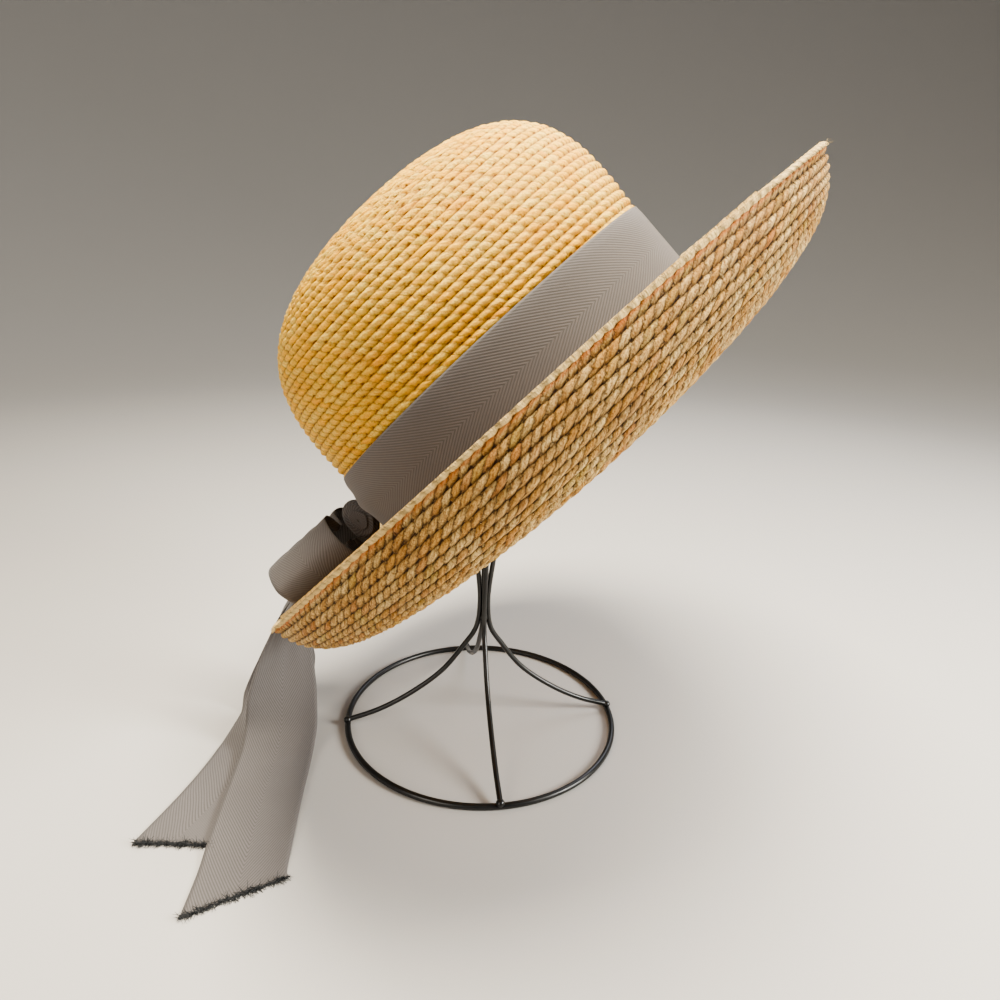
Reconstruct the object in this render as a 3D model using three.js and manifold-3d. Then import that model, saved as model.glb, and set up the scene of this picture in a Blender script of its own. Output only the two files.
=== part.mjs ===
import * as THREE from 'three';
import { mergeVertices } from 'three/addons/utils/BufferGeometryUtils.js';
import Module from 'manifold-3d';

const wasm = await Module();
wasm.setup();

// A raffia sun hat with a ribbon bow, on a wire hat stand. Lengths in mm, angles in degrees, +Z up.

// Hat: the head hole and crown, measured outside the straw
const CROWN_LENGTH = 194;
const CROWN_WIDTH = 166;
const CROWN_HEIGHT = 123;
const CROWN_FRONT_FLARE = 4.8;
const CROWN_ROUNDNESS = 3.13;
const STRAW = 2.2;

// Brim: its width along the straw, how steeply it leaves the crown and how far its edge rolls up.
// The near side is rolled up further than the far side.
const BRIM_FRONT = 84.3;
const BRIM_NEAR = 98;
const BRIM_FAR = 99.8;
const BRIM_BACK = 91;
const DROP_ENDS = -29.9;
const DROP_NEAR = -37.4;
const DROP_FAR = -27.5;
const CURL_FRONT = 68.9;
const CURL_NEAR = 107.9;
const CURL_FAR = 72.1;
const CURL_BACK = 83.4;

// Ribbon, as woven and as built
const RIBBON_WIDTH = 40;
const RIBBON = 1.1;
const BAND_BULGE = 4.2;
const BAND_GATHER = 26;
const GATHERED_SHARE = 0.62;

// Bow
const KNOT_LENGTH = 24;
const KNOT_THICKNESS = 17;
const KNOT_WIDTH = 18;
const KNOT_LUMP = 0.1;
const KNOT_BLUNTNESS = 0.8;
const LOOP_LENGTH = 30;
const LOOP_DEPTH = 21;
const TAIL_START = 0.1;

// Tails: what lies on the floor, and how far the ends are cut on the slant
const FRONT_RUN = 97;
const REAR_RUN = 104;
const FRONT_SLANT = 20;
const REAR_SLANT = 14;

// Stand
const RING_RADIUS = 80;
const RING_WIRE = 3.5;
const LEG_WIRE = 3;
const HUB_HEIGHT = 69;
const HUB_SPREAD = 0.72;
const CAGE_RADIUS = 33;
const WELD_BEAD = 4.6;
const LEGS = 4;
const FIRST_LEG = -80.6;

// How the hat hangs on the stand
const LEAN = 45.5;
const HEADING = -11;
const TWIST = 12.4;
const JOIN_X = 25.5;
const JOIN_Y = -15.6;
const JOIN_HEIGHT = 197.2;

const GAP = 0.3;

const straw = new THREE.MeshStandardMaterial({ color: '#d9ae63', roughness: 0.75, metalness: 0 });
const twill = new THREE.MeshStandardMaterial({ color: '#6f6863', roughness: 0.85, metalness: 0 });
const blackWire = new THREE.MeshStandardMaterial({ color: '#141414', roughness: 0.4, metalness: 0.6 });

const rad = THREE.MathUtils.degToRad;
const lerp = THREE.MathUtils.lerp;
const range = (count) => Array.from({ length: count }, (_, i) => i);

// A closed surface from rows of points, each row a closed loop of two faces, with a cap at both ends
function skin(rows, joined) {
  const points = [];
  const faces = [];
  const width = rows[0].length;
  rows.forEach((row) => row.forEach((p) => points.push(p.x, p.y, p.z)));
  const last = joined ? rows.length : rows.length - 1;
  for (let i = 0; i < last; i += 1) {
    const next = (i + 1) % rows.length;
    for (let j = 0; j < width; j += 1) {
      const k = (j + 1) % width;
      const [a, b, c, d] = [i * width + j, i * width + k, next * width + k, next * width + j];
      faces.push(a, b, c, a, c, d);
    }
  }
  if (!joined) {
    const end = (rows.length - 1) * width;
    for (let j = 0; j < width / 2 - 1; j += 1) {
      const [a, b, c, d] = [j, j + 1, width - 2 - j, width - 1 - j];
      faces.push(a, c, b, a, d, c, end + a, end + b, end + c, end + a, end + c, end + d);
    }
  }
  return closed(points, faces);
}

// A geometry with its faces turned outwards
function closed(points, faces) {
  const geometry = new THREE.BufferGeometry();
  geometry.setAttribute('position', new THREE.Float32BufferAttribute(points, 3));
  let volume = 0;
  const at = (i) => new THREE.Vector3().fromArray(points, 3 * i);
  for (let i = 0; i < faces.length; i += 3) {
    volume += at(faces[i]).dot(at(faces[i + 1]).cross(at(faces[i + 2])));
  }
  if (volume < 0) {
    for (let i = 0; i < faces.length; i += 3) {
      [faces[i + 1], faces[i + 2]] = [faces[i + 2], faces[i + 1]];
    }
  }
  geometry.setIndex(faces);
  return geometry;
}

function solid(geometry) {
  const bare = geometry.clone();
  bare.deleteAttribute('normal');
  bare.deleteAttribute('uv');
  const merged = mergeVertices(bare, 1e-4);
  return new wasm.Manifold(new wasm.Mesh({
    numProp: 3,
    vertProperties: new Float32Array(merged.attributes.position.array),
    triVerts: new Uint32Array(merged.index.array),
  }));
}

function fromSolid(body) {
  const { vertProperties, triVerts } = body.getMesh();
  return closed(Array.from(vertProperties), Array.from(triVerts));
}

// Round wire along a curve, drawn with a polygon that circumscribes its radius
function wire(curve, diameter, steps, sides) {
  const corner = (i) => ((i + 0.5) / sides) * 2 * Math.PI;
  const radius = diameter / 2;
  const section = new THREE.Shape(
    range(sides).map((i) => new THREE.Vector2(radius * Math.cos(corner(i)), radius * Math.sin(corner(i)))),
  );
  return new THREE.ExtrudeGeometry(section, { steps, extrudePath: curve, bevelEnabled: false });
}

// A value that differs at the front, back, near side and far side of the hat
function around(angle, { front, back, near, far }) {
  const along = Math.cos(angle);
  const share = along * along;
  return (along > 0 ? front : back) * share + (Math.sin(angle) < 0 ? near : far) * (1 - share);
}

// Crown: a straight wall as high as the ribbon, then a rounded top
const WALL_TOP = RIBBON_WIDTH;
const WALL_ROWS = 2;
const TOP_ROWS = 10;

function crownPoint(angle, row, inset) {
  const half = new THREE.Vector2(CROWN_LENGTH / 2 - inset, CROWN_WIDTH / 2 - inset);
  if (row <= WALL_ROWS) {
    const z = (WALL_TOP * row) / WALL_ROWS;
    return new THREE.Vector3(half.x * Math.cos(angle), half.y * Math.sin(angle), z);
  }
  const turn = ((row - WALL_ROWS) / TOP_ROWS) * (Math.PI / 2);
  const rise = Math.sin(turn) ** (2 / CROWN_ROUNDNESS);
  const reach = row === WALL_ROWS + TOP_ROWS ? 0 : Math.cos(turn) ** (2 / CROWN_ROUNDNESS);
  const flare = around(angle, { front: CROWN_FRONT_FLARE, back: 0, near: 0, far: 0 }) * rise;
  return new THREE.Vector3(
    (half.x + flare) * reach * Math.cos(angle),
    (half.y + flare) * reach * Math.sin(angle),
    WALL_TOP + (CROWN_HEIGHT - inset - WALL_TOP) * rise,
  );
}

const CROWN_SIDES = 48;

function crownGeometry() {
  const points = [];
  const faces = [];
  const rows = WALL_ROWS + TOP_ROWS;
  const layers = [0, STRAW].map((inset) => {
    const first = points.length / 3;
    for (let row = 0; row < rows; row += 1) {
      range(CROWN_SIDES).forEach((i) => {
        const p = crownPoint((i / CROWN_SIDES) * 2 * Math.PI, row, inset);
        points.push(p.x, p.y, p.z);
      });
    }
    const tip = crownPoint(0, rows, inset);
    points.push(tip.x, tip.y, tip.z);
    return first;
  });
  const quad = (a, b, c, d) => faces.push(a, b, c, a, c, d);
  range(CROWN_SIDES).forEach((i) => {
    const j = (i + 1) % CROWN_SIDES;
    const [outer, inner] = layers;
    for (let row = 0; row < rows - 1; row += 1) {
      const step = row * CROWN_SIDES;
      quad(outer + step + i, outer + step + j, outer + step + CROWN_SIDES + j, outer + step + CROWN_SIDES + i);
      quad(inner + step + j, inner + step + i, inner + step + CROWN_SIDES + i, inner + step + CROWN_SIDES + j);
    }
    const top = (rows - 1) * CROWN_SIDES;
    const tip = rows * CROWN_SIDES;
    faces.push(outer + top + i, outer + top + j, outer + tip);
    faces.push(inner + top + j, inner + top + i, inner + tip);
    quad(outer + j, outer + i, inner + i, inner + j);
  });
  return closed(points, faces);
}

// Brim: one section that leaves the crown level, drops, then rolls up to its edge
const BRIM_SECTION = [
  { share: 0, curl: 0, drop: 0 },
  { share: 0.06, curl: 0, drop: 1 },
  { share: 0.316, curl: 0, drop: 1 },
  { share: 1, curl: 1, drop: 0 },
];
const BRIM_SIDES = 56;
const BRIM_ROWS = 9;

function brimSlope(angle, share) {
  const curl = around(angle, { front: CURL_FRONT, back: CURL_BACK, near: CURL_NEAR, far: CURL_FAR });
  const drop = around(angle, { front: DROP_ENDS, back: DROP_ENDS, near: DROP_NEAR, far: DROP_FAR });
  const i = BRIM_SECTION.findIndex((row, n) => n > 0 && share <= row.share + 1e-9);
  const [from, to] = [BRIM_SECTION[i - 1], BRIM_SECTION[i]];
  const t = (share - from.share) / (to.share - from.share);
  return rad(lerp(from.drop * drop + from.curl * curl, to.drop * drop + to.curl * curl, t));
}

// A point of the brim, share 0 at the crown and 1 at the edge, lifted square to the straw
function brimPoint(angle, share, lift) {
  const width = around(angle, { front: BRIM_FRONT, back: BRIM_BACK, near: BRIM_NEAR, far: BRIM_FAR });
  const substeps = 60;
  let out = 0;
  let up = -GAP - STRAW / 2;
  for (let i = 0; i < substeps; i += 1) {
    const slope = brimSlope(angle, ((i + 0.5) / substeps) * share);
    out += ((width * share) / substeps) * Math.cos(slope);
    up += ((width * share) / substeps) * Math.sin(slope);
  }
  const slope = brimSlope(angle, share);
  out -= lift * Math.sin(slope);
  up += lift * Math.cos(slope);
  const [a, b] = [CROWN_LENGTH / 2, CROWN_WIDTH / 2];
  const normal = new THREE.Vector2(Math.cos(angle) / a, Math.sin(angle) / b).normalize();
  return new THREE.Vector3(a * Math.cos(angle) + out * normal.x, b * Math.sin(angle) + out * normal.y, up);
}

function brimGeometry() {
  const rows = range(BRIM_SIDES).map((i) => {
    const angle = (i / BRIM_SIDES) * 2 * Math.PI;
    const seat = new THREE.Vector3(
      (CROWN_LENGTH / 2 - STRAW) * Math.cos(angle), (CROWN_WIDTH / 2 - STRAW) * Math.sin(angle), -GAP,
    );
    const under = seat.clone().setZ(-GAP - STRAW);
    const upper = range(BRIM_ROWS).map((n) => brimPoint(angle, n / (BRIM_ROWS - 1), STRAW / 2));
    const lower = range(BRIM_ROWS).map((n) => brimPoint(angle, n / (BRIM_ROWS - 1), -STRAW / 2)).reverse();
    return [seat, ...upper, ...lower, under];
  });
  return skin(rows, true);
}

// Band: round the crown, gathered towards the knot, where it stands off the straw in two soft folds
const BAND_FOLDS = [
  { height: 0, bulge: 0.1 },
  { height: 0.15, bulge: 0.75 },
  { height: 0.32, bulge: 0.2 },
  { height: 0.56, bulge: 0.9 },
  { height: 0.8, bulge: 0.45 },
  { height: 1, bulge: 0.05 },
];
const KNOT_ANGLE = 184;
const KNOT_PINCH = 0.6;

function bandGeometry() {
  const rows = range(CROWN_SIDES).map((i) => {
    const angle = (i / CROWN_SIDES) * 2 * Math.PI;
    const away = THREE.MathUtils.radToDeg(Math.acos(Math.cos(angle - rad(KNOT_ANGLE))));
    const near = Math.exp(-((away / BAND_GATHER) ** 2));
    const knotted = Math.exp(-((away / (BAND_GATHER * KNOT_PINCH)) ** 2));
    const [a, b] = [CROWN_LENGTH / 2, CROWN_WIDTH / 2];
    const normal = new THREE.Vector2(Math.cos(angle) / a, Math.sin(angle) / b).normalize();
    const face = (offset) => BAND_FOLDS.map(({ height, bulge }) => {
      const gathered = lerp(height, 0.5 + (height - 0.5) * GATHERED_SHARE, knotted);
      const out = GAP + offset + BAND_BULGE * bulge * near * (1 - knotted);
      return new THREE.Vector3(
        a * Math.cos(angle) + out * normal.x,
        b * Math.sin(angle) + out * normal.y,
        GAP + gathered * (RIBBON_WIDTH - GAP),
      );
    });
    return [...face(0), ...face(RIBBON).reverse()];
  });
  return skin(rows, true);
}

// The hat's own frame, carried to the stand
const hat = new THREE.Group();
hat.position.set(JOIN_X, JOIN_Y, JOIN_HEIGHT);
hat.rotation.set(0, rad(-LEAN), rad(HEADING), 'ZYX');
const twisted = new THREE.Group();
twisted.rotation.z = rad(TWIST);
hat.add(twisted);
hat.updateMatrixWorld(true);
const toWorld = (p) => p.clone().applyMatrix4(twisted.matrixWorld);
const turnToWorld = (p) => p.clone().transformDirection(twisted.matrixWorld);

// A strip of ribbon from rows that give its middle, the direction across it, its width and its cup
const STRIP_STEPS = 3;
const STRIP_PARTS = 4;

function strip(rows) {
  const middle = new THREE.CatmullRomCurve3(rows.map((row) => row.at), false, 'centripetal');
  const across = new THREE.CatmullRomCurve3(rows.map((row) => row.across), false, 'catmullrom', 0.5);
  const count = (rows.length - 1) * STRIP_STEPS;
  const sections = range(count + 1).map((i) => {
    const t = i / count;
    const n = Math.min(Math.floor(t * (rows.length - 1)), rows.length - 2);
    const s = t * (rows.length - 1) - n;
    const width = lerp(rows[n].width, rows[n + 1].width, s);
    const cup = lerp(rows[n].cup, rows[n + 1].cup, s);
    const centre = middle.getPoint(t);
    const side = across.getPoint(t);
    const tangent = middle.getTangent(t);
    const normal = new THREE.Vector3().crossVectors(tangent, side).normalize();
    const face = (offset) => range(STRIP_PARTS + 1).map((j) => {
      const share = j / STRIP_PARTS - 0.5;
      const p = centre.clone()
        .addScaledVector(side, share * width)
        .addScaledVector(normal, offset + cup * (0.5 - 4 * share * share));
      const floor = RIBBON / 2 + offset * Math.sign(normal.z);
      return p.setZ(Math.max(p.z, floor));
    });
    return [...face(-RIBBON / 2), ...face(RIBBON / 2).reverse()];
  });
  return skin(sections, false);
}

// The knot's own frame: out from the crown's back, up its wall, and towards the near side
const knotAngle = rad(KNOT_ANGLE);
const outward = turnToWorld(new THREE.Vector3(Math.cos(knotAngle), Math.sin(knotAngle), 0));
const upward = turnToWorld(new THREE.Vector3(0, 0, 1));
const nearward = new THREE.Vector3().crossVectors(outward, upward).negate();
if (nearward.y > 0) nearward.negate();
const knotBack = toWorld(new THREE.Vector3(
  (CROWN_LENGTH / 2) * Math.cos(knotAngle), (CROWN_WIDTH / 2) * Math.sin(knotAngle), RIBBON_WIDTH / 2,
));
const knotCentre = knotBack.clone().addScaledVector(outward, 3 * GAP + RIBBON + KNOT_THICKNESS / 2);

function fromKnot(out, up, near) {
  return knotCentre.clone()
    .addScaledVector(outward, out)
    .addScaledVector(upward, up)
    .addScaledVector(nearward, near);
}

function knotGeometry() {
  const ball = new THREE.SphereGeometry(1, 20, 12);
  const position = ball.attributes.position;
  for (let i = 0; i < position.count; i += 1) {
    const p = new THREE.Vector3().fromBufferAttribute(position, i);
    const lump = 1 - KNOT_LUMP * Math.cos(3 * p.y * Math.PI) * (1 - p.y * p.y);
    const square = (v) => Math.sign(v) * Math.abs(v) ** KNOT_BLUNTNESS;
    const place = fromKnot(
      (KNOT_THICKNESS / 2) * square(p.x) * lump,
      (KNOT_LENGTH / 2) * square(p.y),
      (KNOT_WIDTH / 2) * square(p.z) * lump,
    );
    position.setXYZ(i, place.x, place.y, place.z);
  }
  return fromSolid(solid(ball));
}

// Loops: out of the knot, round a bend to one side and back, with the ribbon's width pointing outwards
const LOOP_ROWS = [
  { out: 0, up: 0.22, near: 0.12, width: 0.4, flat: 0.7 },
  { out: 0, up: 0.54, near: 0.22, width: 0.62, flat: 0.9 },
  { out: -0.02, up: 0.6, near: 0.46, width: 0.92, flat: 1 },
  { out: -0.04, up: 0.5, near: 0.78, width: 0.98, flat: 1 },
  { out: -0.04, up: 0.1, near: 1, width: 1, flat: 1 },
  { out: -0.04, up: -0.34, near: 0.82, width: 0.98, flat: 1 },
  { out: -0.02, up: -0.46, near: 0.48, width: 0.92, flat: 1 },
  { out: 0, up: -0.38, near: 0.24, width: 0.62, flat: 0.9 },
  { out: 0, up: -0.18, near: 0.12, width: 0.4, flat: 0.7 },
];

function loopGeometry(side) {
  const rows = LOOP_ROWS.map(({ out, up, near, width, flat }) => ({
    at: fromKnot(
      KNOT_THICKNESS / 2 + 2 * GAP + (out + 0.5 * width) * RIBBON_WIDTH, up * LOOP_DEPTH, side * near * LOOP_LENGTH,
    ),
    across: outward.clone().multiplyScalar(flat).addScaledVector(upward, 0.25 * (1 - flat)).normalize(),
    width: width * RIBBON_WIDTH,
    cup: 0,
  }));
  return strip(rows);
}

// Tails: out of the knot, over the back of the brim, down to the floor and along it towards the viewer.
// from runs from knot to rim, height from floor to rim, along over what lies on the floor; out, near and
// side are shares of the ribbon's width, and turn swings the width away from the viewer's plane.
const FRONT_TAIL = {
  rim: 175,
  over: [
    { from: 0, up: 0, near: 0.3, width: 0.36, cup: 0 },
    { from: 0.3, up: -0.28, near: 0.2, width: 0.46, cup: -2.4 },
    { from: 0.65, up: -0.3, near: 0.1, width: 0.58, cup: -2.4 },
  ],
  crest: { lift: 0.022, width: 0.66, cup: -1.6 },
  hang: [
    { out: 0.24, near: 0.02, height: 0.82, width: 0.74, turn: 66, cup: -2.4 },
    { out: 0.3, near: 0.12, height: 0.58, width: 0.86, turn: 44, cup: -2.2 },
    { out: 0.32, near: 0.26, height: 0.34, width: 0.96, turn: 24, cup: -1.6 },
    { out: 0.3, near: 0.46, height: 0.14, width: 1, turn: 8, cup: -0.8 },
  ],
  floor: [
    { along: 0, side: 0, ride: 2.6, turn: -2 },
    { along: 0.16, side: 0.03, ride: 1.2, turn: -3 },
    { along: 0.35, side: 0.07, ride: 1.05, turn: -4 },
    { along: 0.7, side: 0.16, ride: 1, turn: -5 },
    { along: 0.86, side: 0.2, ride: 0, turn: -6 },
    { along: 1, side: 0.24, ride: 0, turn: -6 },
  ],
  landing: { out: 0.29, near: 0.72 },
};
const REAR_TAIL = {
  rim: 164,
  over: [
    { from: 0, up: 0, near: -0.75, width: 0.36, cup: 0 },
    { from: 0.3, up: -0.2, near: -0.6, width: 0.46, cup: -2.4 },
    { from: 0.65, up: -0.2, near: -0.3, width: 0.58, cup: -2.4 },
  ],
  crest: { lift: 0.06, width: 0.66, cup: -1.6 },
  hang: [
    { out: 0.5, near: 0.02, height: 0.82, width: 0.66, turn: 76, cup: -2.4 },
    { out: 0.66, near: 0.08, height: 0.56, width: 0.8, turn: 60, cup: -2.2 },
    { out: 0.68, near: 0.16, height: 0.32, width: 0.94, turn: 30, cup: -1.6 },
    { out: 0.76, near: 0.34, height: 0.12, width: 1, turn: 8, cup: -0.8 },
  ],
  floor: [
    { along: 0, side: 0, ride: 0, turn: 2 },
    { along: 0.35, side: -0.04, ride: 0, turn: 4 },
    { along: 0.7, side: -0.18, ride: 0, turn: 12 },
    { along: 1, side: -0.42, ride: 0, turn: 20 },
  ],
  landing: { out: 0.76, near: 0.62 },
};

const blade = (turn) => new THREE.Vector3(Math.cos(rad(turn)), Math.sin(rad(turn)), 0);

function tailGeometry({ rim, over, crest, hang, floor, landing }, run, slant) {
  const edge = toWorld(brimPoint(rad(rim), 1, 0));
  const start = fromKnot(TAIL_START * KNOT_THICKNESS, -KNOT_LENGTH / 2 - GAP - RIBBON, 0);
  const top = edge.clone().addScaledVector(upward, 2 * GAP + RIBBON + crest.lift * RIBBON_WIDTH);
  const along = new THREE.Vector3().subVectors(top, start);
  const rows = over.map(({ from, up, near, width, cup }) => ({
    at: start.clone().addScaledVector(along, from)
      .addScaledVector(upward, up * KNOT_THICKNESS)
      .addScaledVector(nearward, near * KNOT_WIDTH),
    across: nearward.clone().negate(),
    width: width * RIBBON_WIDTH,
    cup,
  }));
  rows.push({ at: top, across: nearward.clone().negate(), width: crest.width * RIBBON_WIDTH, cup: crest.cup });
  hang.forEach(({ out, near, height, width, turn, cup }) => rows.push({
    at: new THREE.Vector3(edge.x - out * RIBBON_WIDTH, edge.y - near * RIBBON_WIDTH, height * edge.z),
    across: blade(turn),
    width: width * RIBBON_WIDTH,
    cup,
  }));
  floor.forEach((row, i) => {
    const across = blade(-row.turn);
    if (i === floor.length - 1) across.addScaledVector(new THREE.Vector3(0, 1, 0), slant / RIBBON_WIDTH);
    rows.push({
      at: new THREE.Vector3(
        edge.x - landing.out * RIBBON_WIDTH + row.side * RIBBON_WIDTH,
        edge.y - landing.near * RIBBON_WIDTH - row.along * run,
        RIBBON / 2 + row.ride * (RIBBON + GAP),
      ),
      across,
      width: RIBBON_WIDTH,
      cup: 0,
    });
  });
  return strip(rows);
}

// Stand: one length of wire for each leg, from the ring up through the hub to the top of the cage
const LEG_CURVE = [
  { reach: 1, height: 0.055 },
  { reach: 0.775, height: 0.14 },
  { reach: 0.54, height: 0.285 },
  { reach: 0.3, height: 0.5 },
  { reach: 0.14, height: 0.74 },
  { reach: 0.055, height: 0.9 },
];
const CAGE_CURVE = [
  { reach: 0.07, height: 0.04 },
  { reach: 0.16, height: 0.16 },
  { reach: 0.38, height: 0.4 },
  { reach: 0.72, height: 0.66 },
  { reach: 0.98, height: 0.8 },
  { reach: 0.86, height: 0.89 },
  { reach: 0.48, height: 0.968 },
  { reach: 0, height: 1 },
];

const WIRE_STEPS = 31;
const WIRE_SIDES = 6;
const RING_SIDES = 48;
const RING_FACES = 8;

// How high the top bead's middle can stand under the crown's inner face, on the stand's axis
function crownCeiling() {
  const reach = WELD_BEAD / 2 + 2 * GAP;
  let lowest = Infinity;
  for (let row = WALL_ROWS; row <= WALL_ROWS + TOP_ROWS; row += 0.05) {
    for (let turn = 0; turn < 360; turn += 0.5) {
      const p = toWorld(crownPoint(rad(turn), row, STRAW));
      const aside = Math.hypot(p.x, p.y);
      if (aside < reach) lowest = Math.min(lowest, p.z - Math.sqrt(reach * reach - aside * aside));
    }
  }
  return lowest;
}

function standGeometry() {
  const top = crownCeiling();
  const bead = (x, y, z) => solid(new THREE.SphereGeometry(WELD_BEAD / 2, 8, 6).translate(x, y, z));
  const radius = RING_WIRE / 2 / Math.cos(Math.PI / RING_FACES);
  const profile = range(RING_FACES + 1).map((i) => {
    const turn = ((i + 0.5) / RING_FACES) * 2 * Math.PI;
    return new THREE.Vector2(RING_RADIUS + radius * Math.cos(turn), RING_WIRE / 2 + radius * Math.sin(turn));
  });
  let stand = solid(new THREE.LatheGeometry(profile, RING_SIDES).rotateX(Math.PI / 2));
  range(LEGS).forEach((n) => {
    const angle = rad(FIRST_LEG + (360 * n) / LEGS);
    const at = (reach, z) => new THREE.Vector3(reach * Math.cos(angle), reach * Math.sin(angle), z);
    const leg = LEG_CURVE.map(({ reach, height }) => at(reach * RING_RADIUS, height * HUB_HEIGHT));
    const cage = CAGE_CURVE.map(({ reach, height }) => at(
      Math.max(reach * CAGE_RADIUS, reach && LEG_WIRE * HUB_SPREAD), lerp(HUB_HEIGHT, top, height),
    ));
    const curve = new THREE.CatmullRomCurve3([...leg, ...cage], false, 'centripetal');
    stand = stand.add(solid(wire(curve, LEG_WIRE, WIRE_STEPS, WIRE_SIDES)));
    stand = stand.add(bead(leg[0].x, leg[0].y, leg[0].z));
  });
  stand = stand.add(bead(0, 0, HUB_HEIGHT)).add(bead(0, 0, top));
  return fromSolid(stand);
}

const part = new THREE.Group();

function piece(name, geometry, material, parent = part) {
  const mesh = new THREE.Mesh(geometry, material);
  mesh.name = name;
  parent.add(mesh);
}

piece('crown', crownGeometry(), straw, twisted);
piece('brim', brimGeometry(), straw, twisted);
piece('ribbon_band', bandGeometry(), twill, twisted);
part.add(hat);
piece('bow_knot', knotGeometry(), twill);
piece('bow_loop_near', loopGeometry(1), twill);
piece('bow_loop_far', loopGeometry(-1), twill);
piece('tail_front', tailGeometry(FRONT_TAIL, FRONT_RUN, FRONT_SLANT), twill);
piece('tail_rear', tailGeometry(REAR_TAIL, REAR_RUN, REAR_SLANT), twill);
piece('wire_stand', standGeometry(), blackWire);

// The origin lies on the floor below the middle of the whole
const box = new THREE.Box3().setFromObject(part, true);
const middle = box.getCenter(new THREE.Vector3());
part.position.set(-middle.x, -middle.y, -box.min.z);

export default part;
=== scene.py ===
"""Looks of a raffia sun hat with a ribbon bow on a black wire stand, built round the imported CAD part."""

import logging
import math
from dataclasses import dataclass
from enum import Enum
from functools import partial
from typing import Callable, Optional, Sequence, Union

import bmesh
import bpy
import numpy as np
from mathutils import Matrix, Vector


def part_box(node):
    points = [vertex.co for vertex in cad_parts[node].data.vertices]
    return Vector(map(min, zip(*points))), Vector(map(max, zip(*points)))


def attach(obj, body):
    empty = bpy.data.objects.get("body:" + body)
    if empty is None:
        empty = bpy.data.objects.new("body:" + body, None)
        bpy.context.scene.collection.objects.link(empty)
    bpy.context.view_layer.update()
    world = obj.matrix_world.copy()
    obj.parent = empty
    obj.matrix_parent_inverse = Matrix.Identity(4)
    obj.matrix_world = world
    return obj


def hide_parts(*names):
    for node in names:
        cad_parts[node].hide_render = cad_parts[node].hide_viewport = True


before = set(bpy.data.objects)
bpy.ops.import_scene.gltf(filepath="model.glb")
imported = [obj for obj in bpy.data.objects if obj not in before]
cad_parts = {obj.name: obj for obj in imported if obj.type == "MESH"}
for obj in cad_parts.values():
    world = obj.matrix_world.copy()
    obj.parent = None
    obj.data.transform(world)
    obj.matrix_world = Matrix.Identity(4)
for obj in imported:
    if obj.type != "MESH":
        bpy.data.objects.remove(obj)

LOG = logging.getLogger("sun_hat")
# What a socket takes: another socket, a number or a colour
Input = Union[bpy.types.NodeSocket, float, tuple]
MM = 0.001
ROOT = "root"
# The part's origin lies below the middle of the whole; the stand's axis is this far from it, in millimetres
AXIS_X, AXIS_Y = 7.1613, 7.21
# Sizes that several pieces share, in millimetres, and the knot's place round the crown, in degrees
CROWN_LENGTH, CROWN_WIDTH = 194.0, 166.0
STRAW, GAP, TAPE_WIDTH = 2.2, 0.3, 40.0
KNOT_ANGLE = 184.0


class Slot(Enum):
    """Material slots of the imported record."""

    RAFFIA = "raffia"
    RIBBON = "ribbon"
    BLACK_WIRE = "black_wire"


class Side(Enum):
    """Which side of the bow a loop is on, as the sign of its distance from the knot."""

    NEAR = 1
    FAR = -1


# Colours and nodes


def linear(hex_colour: str) -> tuple[float, float, float, float]:
    """Turn an sRGB hex colour into linear light.

    Args:
        hex_colour: Six hex digits, with or without a leading hash.

    Returns:
        Red, green, blue and full opacity.
    """
    digits = hex_colour.lstrip("#")
    channels = [int(digits[i : i + 2], 16) / 255 for i in (0, 2, 4)]
    bright = [c / 12.92 if c <= 0.04045 else ((c + 0.055) / 1.055) ** 2.4 for c in channels]
    return bright[0], bright[1], bright[2], 1.0


def add_node(
    tree: bpy.types.NodeTree, kind: str, inputs: Optional[dict] = None, **settings
) -> bpy.types.Node:
    """Add one node with its settings, and link or set its inputs.

    Args:
        tree: The node tree that takes the node.
        kind: The node's type name without the leading ShaderNode.
        inputs: Socket name or number to a value, or to the output socket that feeds it.
        **settings: Properties of the node itself.

    Returns:
        The new node.
    """
    node = tree.nodes.new("ShaderNode" + kind)
    for name, value in settings.items():
        setattr(node, name, value)
    for key, value in (inputs or {}).items():
        if isinstance(value, bpy.types.NodeSocket):
            tree.links.new(value, node.inputs[key])
        else:
            node.inputs[key].default_value = value
    return node


def new_material(name: str) -> tuple[bpy.types.Material, bpy.types.NodeTree]:
    """Start an empty node material and give it and its tree."""
    material = bpy.data.materials.new(name)
    material.use_nodes = True
    material.node_tree.nodes.clear()
    return material, material.node_tree


def finish_material(tree: bpy.types.NodeTree, inputs: dict) -> None:
    """Close a material with one principled shader that takes these inputs, as for add_node."""
    shader = add_node(tree, "BsdfPrincipled", inputs)
    add_node(tree, "OutputMaterial", {"Surface": shader.outputs[0]})


def mix_colours(tree: bpy.types.NodeTree, share: Input, first: Input, second: Input) -> bpy.types.NodeSocket:
    """Blend two colours or colour sockets, from the first at share 0 to the second at share 1."""
    return add_node(tree, "Mix", {0: share, 6: first, 7: second}, data_type="RGBA").outputs[2]


def calculate(tree: bpy.types.NodeTree, operation: str, *values: Input) -> bpy.types.NodeSocket:
    """Do one sum on one, two or three numbers or sockets."""
    return add_node(tree, "Math", dict(enumerate(values)), operation=operation).outputs[0]


def spread(
    tree: bpy.types.NodeTree, value: Input, low: float, high: float, first: float, last: float
) -> bpy.types.NodeSocket:
    """Carry what lies between low and high over to between first and last, and hold it there."""
    return add_node(tree, "MapRange", {0: value, 1: low, 2: high, 3: first, 4: last}).outputs[0]


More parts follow.
